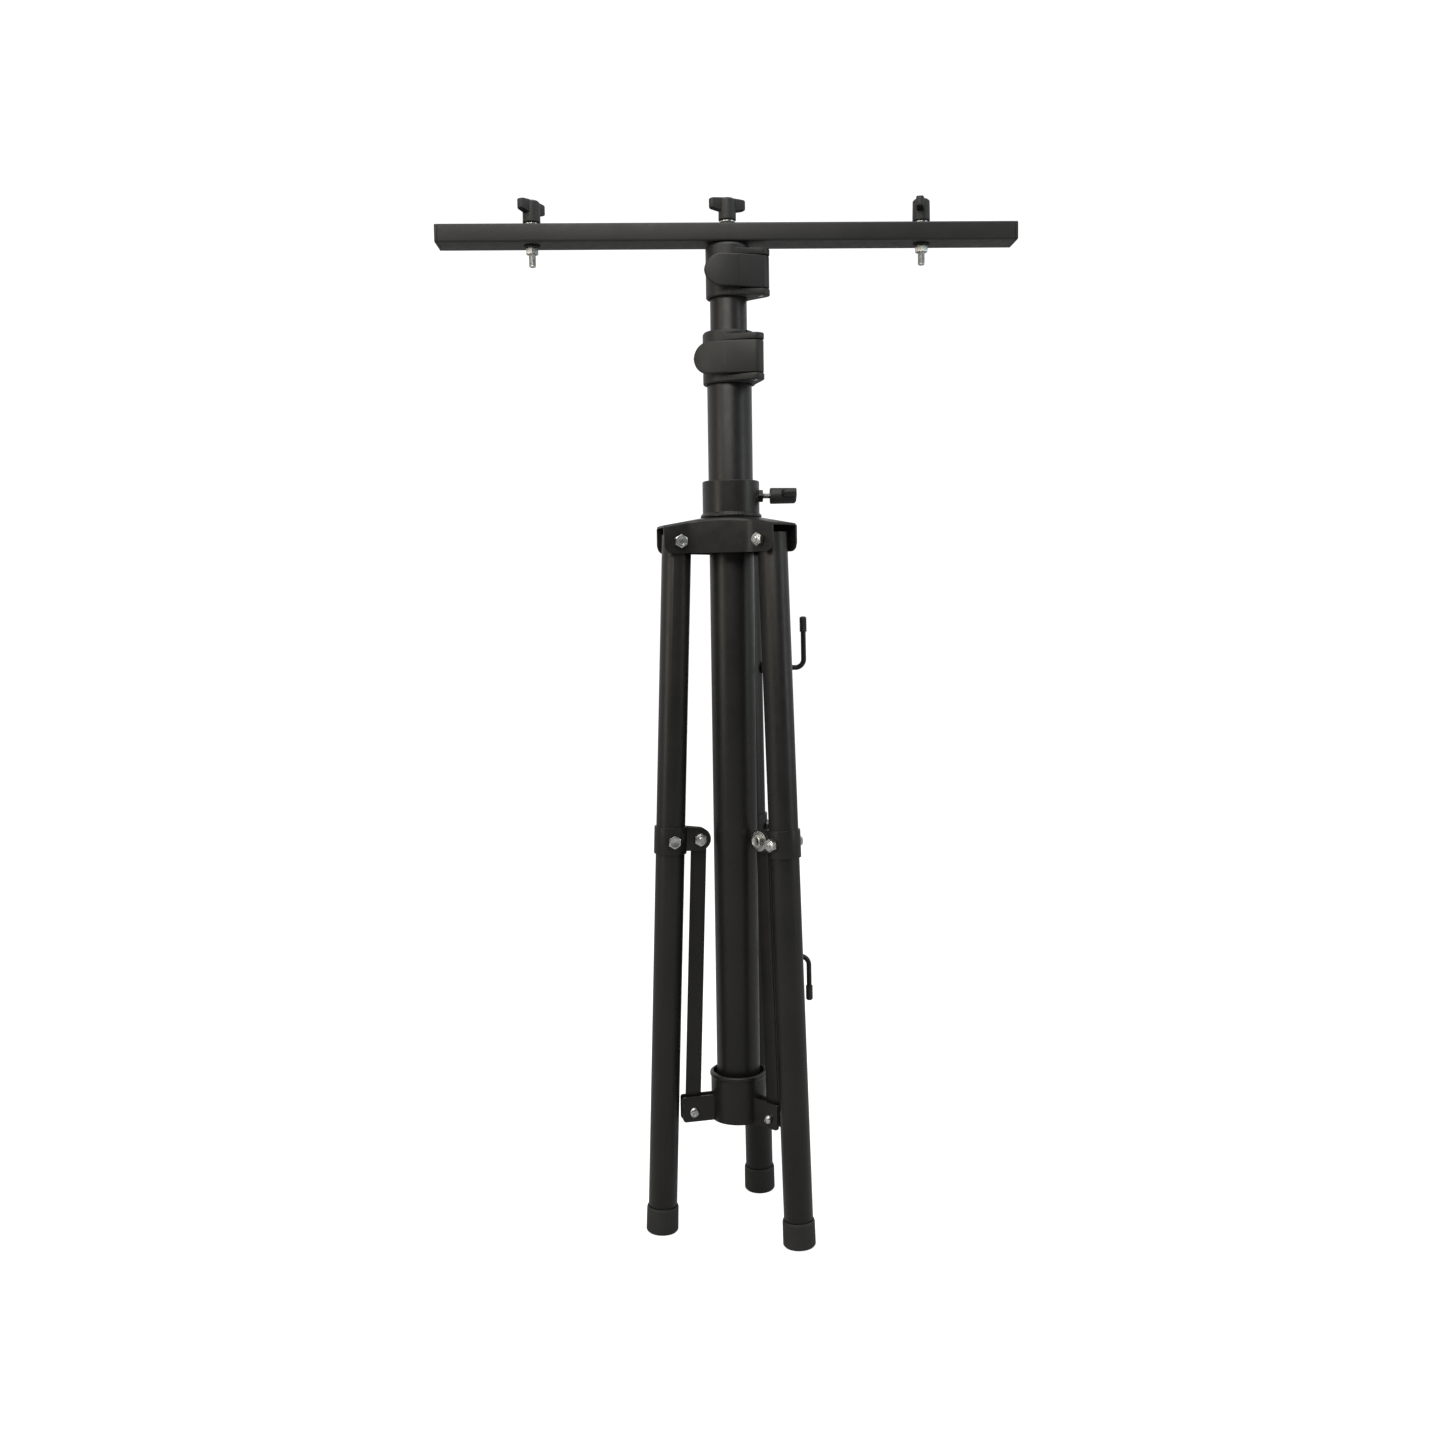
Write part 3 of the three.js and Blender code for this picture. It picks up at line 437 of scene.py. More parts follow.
def moulded(name, dark, light, rough_low, rough_high, grain_size=1900, depth=0.00012):
    look = Look(name)
    grain = look.noise(grain_size, 2, 0.6)
    pits = look.speckle(grain_size * 0.55)
    cloud = look.noise(35, 4)
    rub = look.ranged(look.noise(160, 5, 0.7), 0.58, 0.75, 0, 0.3)
    tone = look.mixed(look.ranged(cloud, 0.35, 0.65, 0, 1), dark, light)
    tone = look.mixed(rub, tone, tuple(c * 1.8 for c in light))
    rough = look.ranged(grain, 0.3, 0.7, rough_low, rough_high)
    normal = look.bumped(pits, 0.25, depth)
    normal = look.bumped(grain, 0.45, depth, normal)
    return look.finish(tone, rough, normal, specular=0.45)


def zinc_plate(name):
    look = Look(name)
    cloud = look.noise(260, 3)
    streak = look.noise(700, 3, 0.6, (1, 1, 0.08))
    tone = look.mixed(look.ranged(cloud, 0.35, 0.65, 0, 1), (0.46, 0.47, 0.46), (0.66, 0.66, 0.64))
    tone = look.mixed(look.ranged(streak, 0.55, 0.8, 0, 0.35), tone, (0.42, 0.42, 0.40))
    rough = look.ranged(streak, 0.3, 0.7, 0.2, 0.34)
    normal = look.bumped(streak, 0.2, 0.00005)
    return look.finish(tone, rough, normal, metallic=1.0)


# Each finish has a dark and a light tone (both linear), and its lowest and highest roughness.
LOOKS = {
    "tube_paint": powder_coat(
        "tube_powder_coat", (0.0085, 0.0080, 0.0076), (0.0125, 0.0118, 0.0110), 0.34, 0.42),
    "bar_paint": powder_coat(
        "bar_powder_coat", (0.0150, 0.0152, 0.0150), (0.0200, 0.0198, 0.0190), 0.42, 0.52),
    "stamping_paint": powder_coat(
        "stamping_powder_coat", (0.0080, 0.0076, 0.0072), (0.0120, 0.0113, 0.0106), 0.32, 0.42),
    "clamp_plastic": moulded(
        "clamp_plastic", (0.0090, 0.0090, 0.0090), (0.0125, 0.0124, 0.0122), 0.42, 0.55),
    "knob_plastic": moulded(
        "knob_plastic", (0.0110, 0.0110, 0.0115), (0.0155, 0.0155, 0.0160), 0.45, 0.6, 1300),
    "rubber": moulded(
        "foot_rubber", (0.0120, 0.0122, 0.0120), (0.0175, 0.0176, 0.0172), 0.55, 0.7, 800),
    "hook_tip": moulded(
        "tip_vinyl", (0.0100, 0.0100, 0.0100), (0.0150, 0.0148, 0.0145), 0.45, 0.6, 1500),
    "zinc": zinc_plate("zinc_plate"),
}

slots = {p["node"]: p["material_slot"] for p in record["subparts"]}
body_of = {node: body for body, nodes in record["behaviour"]["bodies"].items() for node in nodes}


def piece(obj, node, place, slot=None, name=None):
    """Puts a new piece in place of a CAD node, on that node's body and with its finish."""
    finish = slot or slots[node]
    obj.name = name or f"{node}_shape"
    obj.data.name = obj.name
    obj.data.materials.clear()
    obj.data.materials.append(LOOKS[finish])
    for face in obj.data.polygons:
        face.use_smooth = True
    obj.data.set_sharp_from_angle(angle=radians(32))
    obj.matrix_world = place
    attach(obj, body_of[node])
    if not name:
        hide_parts(node)
    return obj

# ---- column, tubes and their linings ----------------------------------------

TUBE_WALL = 1.2
TUBE_RIM = 0.35
# Cutters run this far past what they cut, and have next to no rounding.
CUTTER = 30
CUTTER_EDGE = 0.01


def round_tube(name, radius, low, high, edge):
    return tube(name, [p[:2] for p in circle(radius, 0)], TUBE_WALL, low, high, edge)


for node in ("column_tube", "mid_tube", "top_tube"):
    low, high = span(node, column)
    made = round_tube(f"{node}_a", high.x, 0, high.z - low.z, TUBE_RIM)
    piece(made, node, moved(column, z=low.z))

for node, wall in (("mid_bush", 2.0), ("top_bush", 1.3), ("top_insert", 11.4)):
    low, high = span(node, column)
    inner = high.x - wall
    profile = [(inner, 0), (high.x, 0), (high.x, high.z - low.z), (inner, high.z - low.z)]
    piece(lathe(f"{node}_a", profile, 0.4), node, moved(column, z=low.z))

# ---- T-bar ------------------------------------------------------------------

BAR_CORNER = 2.4
bar_low, bar_high = span("tbar", column)
bar_tall = bar_high.z - bar_low.z
bar_half = (bar_high.y - bar_low.y) / 2
bar_place = moved(column, x=bar_low.x, z=(bar_low.z + bar_high.z) / 2) @ ALONG_X
bolt_x = joints["wing_right_turn"]["pos_m"][0] / MM - axis_xy.x / MM


def bar_section():
    """Section of the bar in its own frame, where X is down and Y is across."""
    return rounded_rectangle(bar_tall / 2, bar_half, BAR_CORNER)


def tbar():
    length = bar_high.x - bar_low.x
    bar = tube("tbar_a", bar_section(), 1.2, 0, length, 0.25)
    for x in (-bolt_x, 0, bolt_x):
        bar = cut(bar, drill(4.6, -20, 20, here(0, 0, x - bar_low.x) @ ALONG_X))
    piece(bar, "tbar", bar_place)


tbar()

for side, sign in (("left", -1), ("right", 1)):
    low, high = span(f"tbar_cap_{side}", column)
    lip = 3.2
    turn = Matrix.Rotation(0 if sign > 0 else pi, 4, "Z")
    end = high.x if sign > 0 else -low.x
    section = bar_section()
    plug = inset(section, 1.5)
    loops = []
    for pull, rise in edge_steps(0.9, 4):
        loops.append([(x, y, -rise) for x, y in inset(section, pull)])
    loops.append([(x, y, -lip + 0.25) for x, y in section])
    loops.append([(x, y, -lip) for x, y in inset(section, 0.3)])
    loops.append([(x, y, -lip) for x, y in plug])
    loops.append([(x, y, -16.5) for x, y in plug])
    loops.append([(x, y, -17.2) for x, y in inset(plug, 0.7)])
    cap = loft(f"cap_{side}", loops)
    place = moved(column, z=(bar_low.z + bar_high.z) / 2) @ turn
    piece(cap, f"tbar_cap_{side}", moved(place, x=end) @ ALONG_X)

# ---- wing bolts and the nuts under the bar ------------------------------------

def wing_shape(name, height, length=42.0, thick=8.6, stem=9.8, tall=14.5):
    """Knob: a stem with two blunt, nearly rectangular wings."""
    low = height - tall
    half = length / 2
    stem_profile = [(0, 0.6), (stem - 3.4, 0.6), (stem - 2.8, 0), (stem - 0.6, 0), (stem, 1.2, 0.8),
                    (stem - 0.3, height - 2.4, 1.6), (stem - 2.6, height - 0.4, 1.6), (0, height - 0.2)]
    knob = turned(name, stem_profile, 0.5, 96)
    loops = []
    steps = 24
    soft = 3.4
    for i in range(-steps, steps + 1):
        t = sin(pi / 2 * i / steps)
        x = half * t
        near_end = max(0, abs(x) - (half - soft)) / soft
        round_off = sqrt(max(0, 1 - near_end * near_end))
        half_thick = thick / 2 - soft * (1 - round_off) * 0.98
        top = height - 1.3 * t * t - 1.0 * (1 - round_off)
        bottom = low + 2.4 * max(0, (abs(x) - stem) / (half - stem)) + 1.2 * (1 - round_off)
        corners = [(-half_thick, bottom), (half_thick, bottom), (half_thick, top), (-half_thick, top)]
        section = fillet(corners, min(1.5, half_thick * 0.8), 4)
        loops.append([(x, y, z) for y, z in section])
    wings = loft("wings", loops)
    return joined(knob, (wings, Matrix.Identity(4)))


def knob_turn(node, place):
    """Direction of a knob's wings in the plane of a frame, from the spread of its CAD points."""
    back = place.inverted()
    points = [(back @ v.co).xy for v in frame["nodes"][node].data.vertices]
    low, high = span(node, place)
    centre = Vector(((low.x + high.x) / 2, (low.y + high.y) / 2)) * MM
    xx = sum((p.x - centre.x) ** 2 for p in points)
    yy = sum((p.y - centre.y) ** 2 for p in points)
    xy = sum((p.x - centre.x) * (p.y - centre.y) for p in points)
    return atan2(2 * xy, xx - yy) / 2


for side in ("left", "centre", "right"):
    pivot = Vector(joints[f"wing_{side}_turn"]["pos_m"])
    x = (pivot.x - axis_xy.x) / MM
    low, high = span(f"wing_knob_{side}", column)
    turn = Matrix.Rotation(knob_turn(f"wing_knob_{side}", column), 4, "Z")
    knob = wing_shape(f"knob_{side}", high.z - low.z)
    piece(knob, f"wing_knob_{side}", moved(column, x=x, z=low.z) @ turn)
    low_s, high_s = span(f"wing_stud_{side}", column)
    flange = low.z - 0.3 - low_s.z
    loops = [circle(0.01, 0, BOLT_POINTS), circle(2.9, 0, BOLT_POINTS)]
    loops += thread(4, 0.5, flange - 1.9)
    loops += [circle(8.1, flange - 1.8, BOLT_POINTS), circle(8.5, flange - 1.4, BOLT_POINTS),
              circle(8.5, flange - 0.4, BOLT_POINTS), circle(8.1, flange, BOLT_POINTS),
              circle(4, flange, BOLT_POINTS), circle(4, high_s.z - low_s.z, BOLT_POINTS)]
    piece(loft(f"stud_{side}", loops), f"wing_stud_{side}", moved(column, x=x, z=low_s.z))

for side in ("left", "right"):
    low, high = span(f"bar_washer_{side}", column)
    x = (low.x + high.x) / 2
    tall = high.z - low.z
    profile = [(4.5, 0), (9, 0), (9, tall), (4.5, tall)]
    piece(lathe(f"washer_{side}", profile, 0.7, 64), f"bar_washer_{side}", moved(column, x=x, z=low.z))
    low, high = span(f"bar_nut_{side}", column)
    tall = high.z - low.z
    bore = [circle(4.35, tall, BOLT_POINTS), circle(4.35, 0, BOLT_POINTS)]
    nut = loft(f"nut_{side}", hexagon(13, 0, tall) + bore, ring=True)
    piece(nut, f"bar_nut_{side}", moved(column, x=x, z=low.z))

# ---- telescoping clamps -------------------------------------------------------

CLAMP_WALL = 4.3
PIN_REACH = 13.0
EAR_BASE = 0.6
EAR_TALL = 7.0
CLAMP_SPLIT = 2.4
CLAMP_SEAT = 36.0
PIN_HOLE = 3.3
LEVER_TALL = 35.0
LEVER_GAP = 0.6
BOSS = 10.0
CREASE = radians(-52)


def ear_outline(radius, pin):
    """Plan of an ear: the collar's front, drawn out to the boss round the pin."""
    reach = pin
    lean = asin((radius - 0.4 - BOSS) / reach)
    points = []
    for k in range(25):
        t = -pi / 2 + lean + (pi - 2 * lean) * k / 24
        points.append((pin + BOSS * cos(t), BOSS * sin(t)))
    for k in range(41):
        t = pi / 2 - lean + (pi + 2 * lean) * k / 40
        points.append(((radius - 0.4) * cos(t), (radius - 0.4) * sin(t)))
    return points


def clamp_body(name, outer_tube, inner_tube, tall, seat):
    radius = outer_tube + CLAMP_WALL
    pin = radius + PIN_REACH
    bore = outer_tube + 0.45
    neck = inner_tube + 0.6
    profile = [(bore, 0.0), (radius - 0.9, 0), (radius, 1.2, 0.6), (radius, tall - 2.2, 1.2),
               (radius - 1.6, tall, 0.8), (neck + 1.0, tall), (neck, tall - 1.0), (neck, seat), (bore, seat)]
    shell = lathe(name, profile, 0.4, 128)
    ears = []
    top_ear = EAR_BASE + EAR_TALL + LEVER_TALL + 2 * LEVER_GAP
    for low in (EAR_BASE, top_ear):
        ear = plate("ear", ear_outline(radius, pin), low, low + EAR_TALL, 1.1)
        ears.append((ear, Matrix.Identity(4)))
    shell = joined(shell, *ears)
    split = CLAMP_SPLIT / 2
    split_plan = [(0, -split), (pin - BOSS, -split), (pin - BOSS, split), (0, split)]
    slot = plate("slot", split_plan, seat + 6, tall + 3, CUTTER_EDGE)
    return cut(
        shell,
        drill(bore, -2, seat, count=128),
        drill(neck, seat - 1, tall + 2, count=128),
        drill(PIN_HOLE, -2, tall + 2, here(pin, 0, 0)),
        (slot, Matrix.Identity(4)),
    )


def lever_section(inner, outer, tall, middle, soft):
    """Rounded section of the lever in (distance from the axis, height)."""
    half = (outer - inner) / 2
    up = tall / 2
    r = min(soft, half * 0.92, up * 0.92)
    box = fillet([(-half, -up), (half, -up), (half, up), (-half, up)], r, 6)
    return [(inner + half + a, middle + b) for a, b in box]


def clamp_lever(name, outer_tube):
    """Lever: a flat front from the crease to the boss, and a paddle that leans in from the crease."""
    radius = outer_tube + CLAMP_WALL
    pin = radius + PIN_REACH
    inner = radius + 2.0
    outer = inner + 5.0
    middle = LEVER_TALL / 2
    boss = BOSS - 0.5
    tangent = -acos((outer - boss) / pin)
    plan = [(outer * cos(CREASE), outer * sin(CREASE))]
    for k in range(33):
        t = tangent + (pi - tangent) * k / 32
        plan.append((pin + boss * cos(t), boss * sin(t)))
    for k in range(17):
        t = -0.12 + (CREASE + 0.12) * k / 16
        plan.append((inner * cos(t), inner * sin(t)))
    lever = plate(name, plan, 0, LEVER_TALL, 1.3)
    face = Vector((cos(CREASE), sin(CREASE)))
    tip = Vector((sin(CREASE), -cos(CREASE)))
    length = 35.0
    sunk = length * tan(radians(14))
    loops = []
    steps = 30
    for i in range(steps, -1, -1):
        t = sin(pi / 2 * i / steps)
        x = -2.5 * (1 - t) ** 2 + length * t * (1 - t) + length * t * t
        out = outer * (1 - t) ** 2 + (outer - 1) * 2 * t * (1 - t) + (outer - sunk) * t * t
        back = (inner + 0.2) * (1 - t) ** 2 + (inner - 1) * 2 * t * (1 - t) + (outer - sunk - 4) * t * t
        end = max(0.0, x - (length - middle))
        tall = 2 * sqrt(max(0.0, middle * middle - end * end)) - 0.1
        tall = max(tall, 0.6)
        section = lever_section(back, out - 0.03, tall, middle, 1.8)
        loops.append([(face.x * a + tip.x * x, face.y * a + tip.y * x, b) for a, b in section])
    joined(lever, (loft("paddle", loops), Matrix.Identity(4)))
    return cut(lever, drill(PIN_HOLE, -2, LEVER_TALL + 2, here(pin, 0, 0)))


COLUMN_RADIUS, MID_RADIUS, TOP_RADIUS = 25.0, 20.5, 17.5

for level, outer_tube, inner_tube in (
    ("lower", COLUMN_RADIUS, MID_RADIUS),
    ("upper", MID_RADIUS, TOP_RADIUS),
):
    pivot = Vector(joints[f"{level}_lever_open"]["pos_m"])
    low, high = span(f"{level}_clamp_body", column)
    out = (pivot.xy - axis_xy).normalized()
    out = Vector((out.x, out.y, 0))
    place = basis((axis_xy.x, axis_xy.y, low.z * MM), out, UP.cross(out), UP)
    tall = high.z - low.z
    body = clamp_body(f"{level}_body_a", outer_tube, inner_tube, tall, CLAMP_SEAT)
    piece(body, f"{level}_clamp_body", place)
    lever_z = EAR_BASE + EAR_TALL + LEVER_GAP
    piece(clamp_lever(f"{level}_lever_a", outer_tube), f"{level}_clamp_lever", moved(place, z=lever_z))
    low_p, high_p = span(f"{level}_clamp_pin", place)
    tall = high_p.z - low_p.z
    profile = [(0, 0), (2.2, 0), (3, 0.6), (3, tall - 0.6), (2.2, tall), (0, tall)]
    middle = (low_p.x + high_p.x) / 2
    pin = turned(f"{level}_pin_a", profile, 0.4, 32)
    piece(pin, f"{level}_clamp_pin", moved(place, x=middle, z=low_p.z))
# ---- legs, feet and leg clamps -------------------------------------------------

LEG_RADIUS = 16.5
BOLT_RADIUS = 4.0
BOLT_FLATS = 13.0
BOLT_HOLE = 4.3
HUB_BOLT_HOLE = 5.5
NUT_REACH = 9.6
# Half of what each bolt holds together.
CLAMP_GRIP = 18.9
BRACE_GRIP = 6.5
HUB_GRIP = 20.3
LUG_GRIP = 7.8
# The two flat arms of a leg clamp.
ARM_INSIDE = 4.0
ARM_SHEET = 2.2
ARM_ROUND = 13.0
ARM_RISE = 0.5
CLAMP_TALL_HALF = 15.5
leg_places = {side: leg_frame(side) for side in SIDES}
arm_pivot = (leg_places["left"].inverted() @ Vector(joints["leg_left_swing"]["pos_m"])) / MM
ARM_X, ARM_Z = arm_pivot.x, arm_pivot.z
CLAMP_Z = ARM_Z - ARM_RISE


def cross_bolt(node, place, grip, head_side=1):
    """Bolt across a leg's plane. Its head is on the +Y side, or on the -Y side."""
    turn = Matrix.Rotation(pi if head_side > 0 else 0, 4, "Z")
    made = bolt(f"{node}_a", BOLT_RADIUS, BOLT_FLATS, -grip, grip, -grip - NUT_REACH)
    piece(made, node, place @ turn @ ALONG_Y)


def foot_shape(name, height):
    rim = LEG_RADIUS + 0.3
    profile = [(0, 0), (12.2, 0), (12.6, 0.7, 0.3), (14.4, 0.7, 0.3), (14.8, 0), (17.0, 0), (18.5, 1.8, 1.5),
               (18.3, height - 2.4, 1.4), (17.6, height, 0.6), (rim, height), (rim, 6), (0, 6)]
    return turned(name, profile, 0.3, 96)


def leg_clamp_shape(name):
    """Pressed steel band round the leg, whose two flat arms hold the brace's bolt."""
    bore, outer, half = LEG_RADIUS + 0.3, LEG_RADIUS + 2.1, CLAMP_TALL_HALF
    band = lathe(name, [(bore - 1, -half), (outer, -half), (outer, half), (bore - 1, half)], 0.35, 128)
    gap = [(-40, -ARM_INSIDE), (-14.8, -ARM_INSIDE), (-14.8, ARM_INSIDE), (-40, ARM_INSIDE)]
    band = cut(band, (plate("gap", gap, -CUTTER, CUTTER, CUTTER_EDGE), Matrix.Identity(4)))
    arm = [(-13.5, -half + 2.6), (-13.5, half - 0.2, 2)]
    for k in range(25):
        t = pi / 2 + pi * k / 24
        arm.append((ARM_X + ARM_ROUND * cos(t), ARM_RISE + ARM_ROUND * sin(t), 0))
    pads = drill(8.2, -outer, outer, ALONG_Y, 64)
    plates = [
        (plate("arm", fillet(arm, 0), low, low + ARM_SHEET, 0.4), ALONG_Y)
        for low in (ARM_INSIDE, -ARM_INSIDE - ARM_SHEET)
    ]
    inside = ARM_INSIDE - 0.02
    room = [(-40, -inside), (-8, -inside), (-8, inside), (-40, inside)]
    return cut(
        joined(band, pads, *plates),
        drill(bore, -CUTTER, CUTTER, count=128),
        (plate("room", room, -CUTTER, CUTTER, CUTTER_EDGE), Matrix.Identity(4)),
        drill(BOLT_HOLE, -CUTTER, CUTTER, ALONG_Y),
        drill(BOLT_HOLE, -CUTTER, CUTTER, here(ARM_X, 0, ARM_RISE) @ ALONG_Y),
    )


for side in SIDES:
    place = leg_places[side]
    low, high = span(f"leg_{side}", place)
    leg = round_tube(f"leg_{side}_a", LEG_RADIUS, low.z, high.z, 0.3)
    clamp_hole = drill(BOLT_HOLE, -CUTTER, CUTTER, here(0, 0, CLAMP_Z) @ ALONG_Y)
    leg = cut(leg, drill(HUB_BOLT_HOLE, -CUTTER, CUTTER, ALONG_Y), clamp_hole)
    piece(leg, f"leg_{side}", place)
    low, high = span(f"foot_{side}", place)
    piece(foot_shape(f"foot_{side}_a", high.z - low.z), f"foot_{side}", moved(place, z=low.z))
    piece(leg_clamp_shape(f"clamp_{side}_a"), f"leg_clamp_{side}", moved(place, z=CLAMP_Z))
    cross_bolt(f"leg_clamp_bolt_{side}", moved(place, z=CLAMP_Z), CLAMP_GRIP)
    arms = moved(place, x=ARM_X, z=ARM_Z)
    cross_bolt(f"brace_bolt_{side}", arms, BRACE_GRIP, -1)
    washer = lathe("washer", [(4.2, 6.21), (11.5, 6.21), (11.5, 6.49), (4.2, 6.49)], 0.08, 64)
    piece(washer, f"brace_bolt_{side}", arms @ ALONG_Y, name=f"brace_washer_{side}")
    cross_bolt(f"hub_bolt_{side}", hub_bolt_place(side), HUB_GRIP)

# ---- braces and the screws at their foot ---------------------------------------

BRACE_HALF_WIDTH = 9.0
BRACE_HALF_THICK = 1.5
LUG_HOLE = 3.3


def lug_screw_shape(name, grip):
    """Pan-head screw with a cross recess, and a round cap nut."""
    loops = [circle(0.01, -grip - 5, BOLT_POINTS), circle(2.6, -grip - 4.9, BOLT_POINTS),
             circle(4.3, -grip - 3.9, BOLT_POINTS), circle(5.2, -grip - 2.3, BOLT_POINTS),
             circle(5.2, -grip - 0.3, BOLT_POINTS), circle(4.9, -grip, BOLT_POINTS),
             circle(3, -grip, BOLT_POINTS), circle(3, grip, BOLT_POINTS), circle(5.8, grip, BOLT_POINTS)]
    for k in range(9):
        t = pi / 2 * k / 8
        loops.append(circle(max(0.01, 6.0 * cos(t) ** 0.7), grip + 0.5 + 3.3 * sin(t), BOLT_POINTS))
    screw = loft(name, loops)
    bar = [(-2.6, -0.55), (2.6, -0.55), (2.6, 0.55), (-2.6, 0.55)]
    recess = [
        (plate("recess", bar, grip + 1.7, grip + 5, CUTTER_EDGE), Matrix.Rotation(turn, 4, "Z"))
        for turn in (0.3, 0.3 + pi / 2)
    ]
    return cut(screw, *recess)


for side in SIDES:
    lug = Vector(joints[LUG_JOINTS[side]]["pos_m"])
    top = Vector(joints[f"leg_{side}_swing"]["pos_m"])
    across = UP.cross(outward(side))
    along = (top - lug).normalized()
    length = (top - lug).length / MM
    outline = []
    for x, start in ((0, pi / 2), (length, -pi / 2)):
        for k in range(25):
            t = start + pi * k / 24
            outline.append((x + BRACE_HALF_WIDTH * cos(t), BRACE_HALF_WIDTH * sin(t)))
    bar = plate(f"brace_{side}_a", outline, -BRACE_HALF_THICK, BRACE_HALF_THICK, 0.5)
    bar = cut(bar, drill(LUG_HOLE, -9, 9), drill(BOLT_HOLE, -9, 9, here(length, 0, 0)))
    piece(bar, f"brace_{side}", basis(lug, along, across.cross(along), across))
    turn = Matrix.Rotation(pi, 4, "Z")
    screw = lug_screw_shape(f"screw_{side}", LUG_GRIP)
    piece(screw, f"lug_screw_{side}", upright_frame(side, lug) @ turn @ ALONG_Y)

# ---- collar at the column's foot -------------------------------------------------

COLLAR_OUT = 32.0
COLLAR_BORE = 29.5
COLLAR_ROLL = 33.2
LUG_INSIDE = 4.5
LUG_SHEET = 3.0
LUG_REACH = 68.5


def bottom_collar():
    low, high = span("bottom_collar", column)
    lug = Vector(joints["legs_spread"]["pos_m"])
    lug_z = lug.z / MM
    lug_r = (lug.xy - axis_xy).length / MM
    inside = COLLAR_BORE - 0.9
    profile = [
        (inside, low.z), (COLLAR_OUT, low.z, 0.5), (COLLAR_OUT, high.z - 6.2, 3),
        (COLLAR_ROLL, high.z - 4.2, 1.2), (COLLAR_ROLL, high.z - 1.2, 1.2),
        (COLLAR_OUT - 0.4, high.z, 0.9), (inside, high.z),
    ]
    collar = lathe("bottom_collar_a", profile, 0.3, 128)
    root = COLLAR_BORE + 1
    bottom, top = lug_z - 11.5, lug_z + 18
    plan = [(root, bottom, 0), (LUG_REACH, bottom, 4), (LUG_REACH, top, 3), (root, top, 0)]
    lugs, holes = [], []
    for side in SIDES:
        facing = column.inverted() @ upright_frame(side, column.translation)
        for start in (LUG_INSIDE, -LUG_INSIDE - LUG_SHEET):
            lugs.append((plate("lug", fillet(plan, 0, 8), start, start + LUG_SHEET, 0.5), facing @ ALONG_Y))
        holes.append(drill(LUG_HOLE, -20, 20, facing @ here(lug_r, 0, lug_z) @ ALONG_Y))
    joined(collar, *lugs)
    bore = drill(COLLAR_BORE, low.z - CUTTER, high.z + CUTTER, count=128)
    piece(cut(collar, bore, *holes), "bottom_collar", column)


bottom_collar()
low, high = span("collar_liner", column)
profile = [(25.3, low.z), (29.2, low.z), (29.2, high.z), (25.3, high.z)]
piece(lathe("collar_liner_a", profile, 0.5, 128), "collar_liner", column)

# ---- hub ---------------------------------------------------------------------------

EAR_OUT = 20.0
EAR_IN = 17.5
HUB_END = 82.0
HUB_BEND_AT = hub_radius / MM - 14
HUB_SHEET = 2.5
HUB_RING = 32.0
HUB_BORE = 29.5
HUB_ROOF_DROP = 9.0
HUB_EAR_CORNER = 9.0
HUB_FOLD = 3.2
hub_low, hub_high = span("hub_spider", column)


def hub_plan():
    """Outer outline of the pressed hub, closely divided, anticlockwise."""
    keys = []
    for side in ("rear", "left", "right"):
        out = outward(side)
        for along, aside, radius in (
            (HUB_BEND_AT, -EAR_OUT, 24), (HUB_END, -EAR_OUT, 0), (HUB_END, -EAR_IN, 0),
            (HUB_END, -EAR_IN + 0.1, 0), (HUB_END, EAR_IN - 0.1, 0), (HUB_END, EAR_IN, 0),
            (HUB_END, EAR_OUT, 0), (HUB_BEND_AT, EAR_OUT, 24),
        ):
            keys.append((out.x * along - out.y * aside, out.y * along + out.x * aside, radius))
    rounded = fillet(keys, 0, 8)
    points = []
    for i, a in enumerate(rounded):
        b = rounded[(i + 1) % len(rounded)]
        parts = max(1, round(sqrt((b[0] - a[0]) ** 2 + (b[1] - a[1]) ** 2) / 1.6))
        step = ((b[0] - a[0]) / parts, (b[1] - a[1]) / parts)
        points += [(a[0] + step[0] * k, a[1] + step[1] * k) for k in range(parts)]
    return points


def ear_place(point):
    """Where a plan point is in the frame of the leg it is nearest to."""
    spots = []
    for side in SIDES:
        out = outward(side)
        spots.append((out.x * point[0] + out.y * point[1], out.x * point[1] - out.y * point[0]))
    return max(spots)


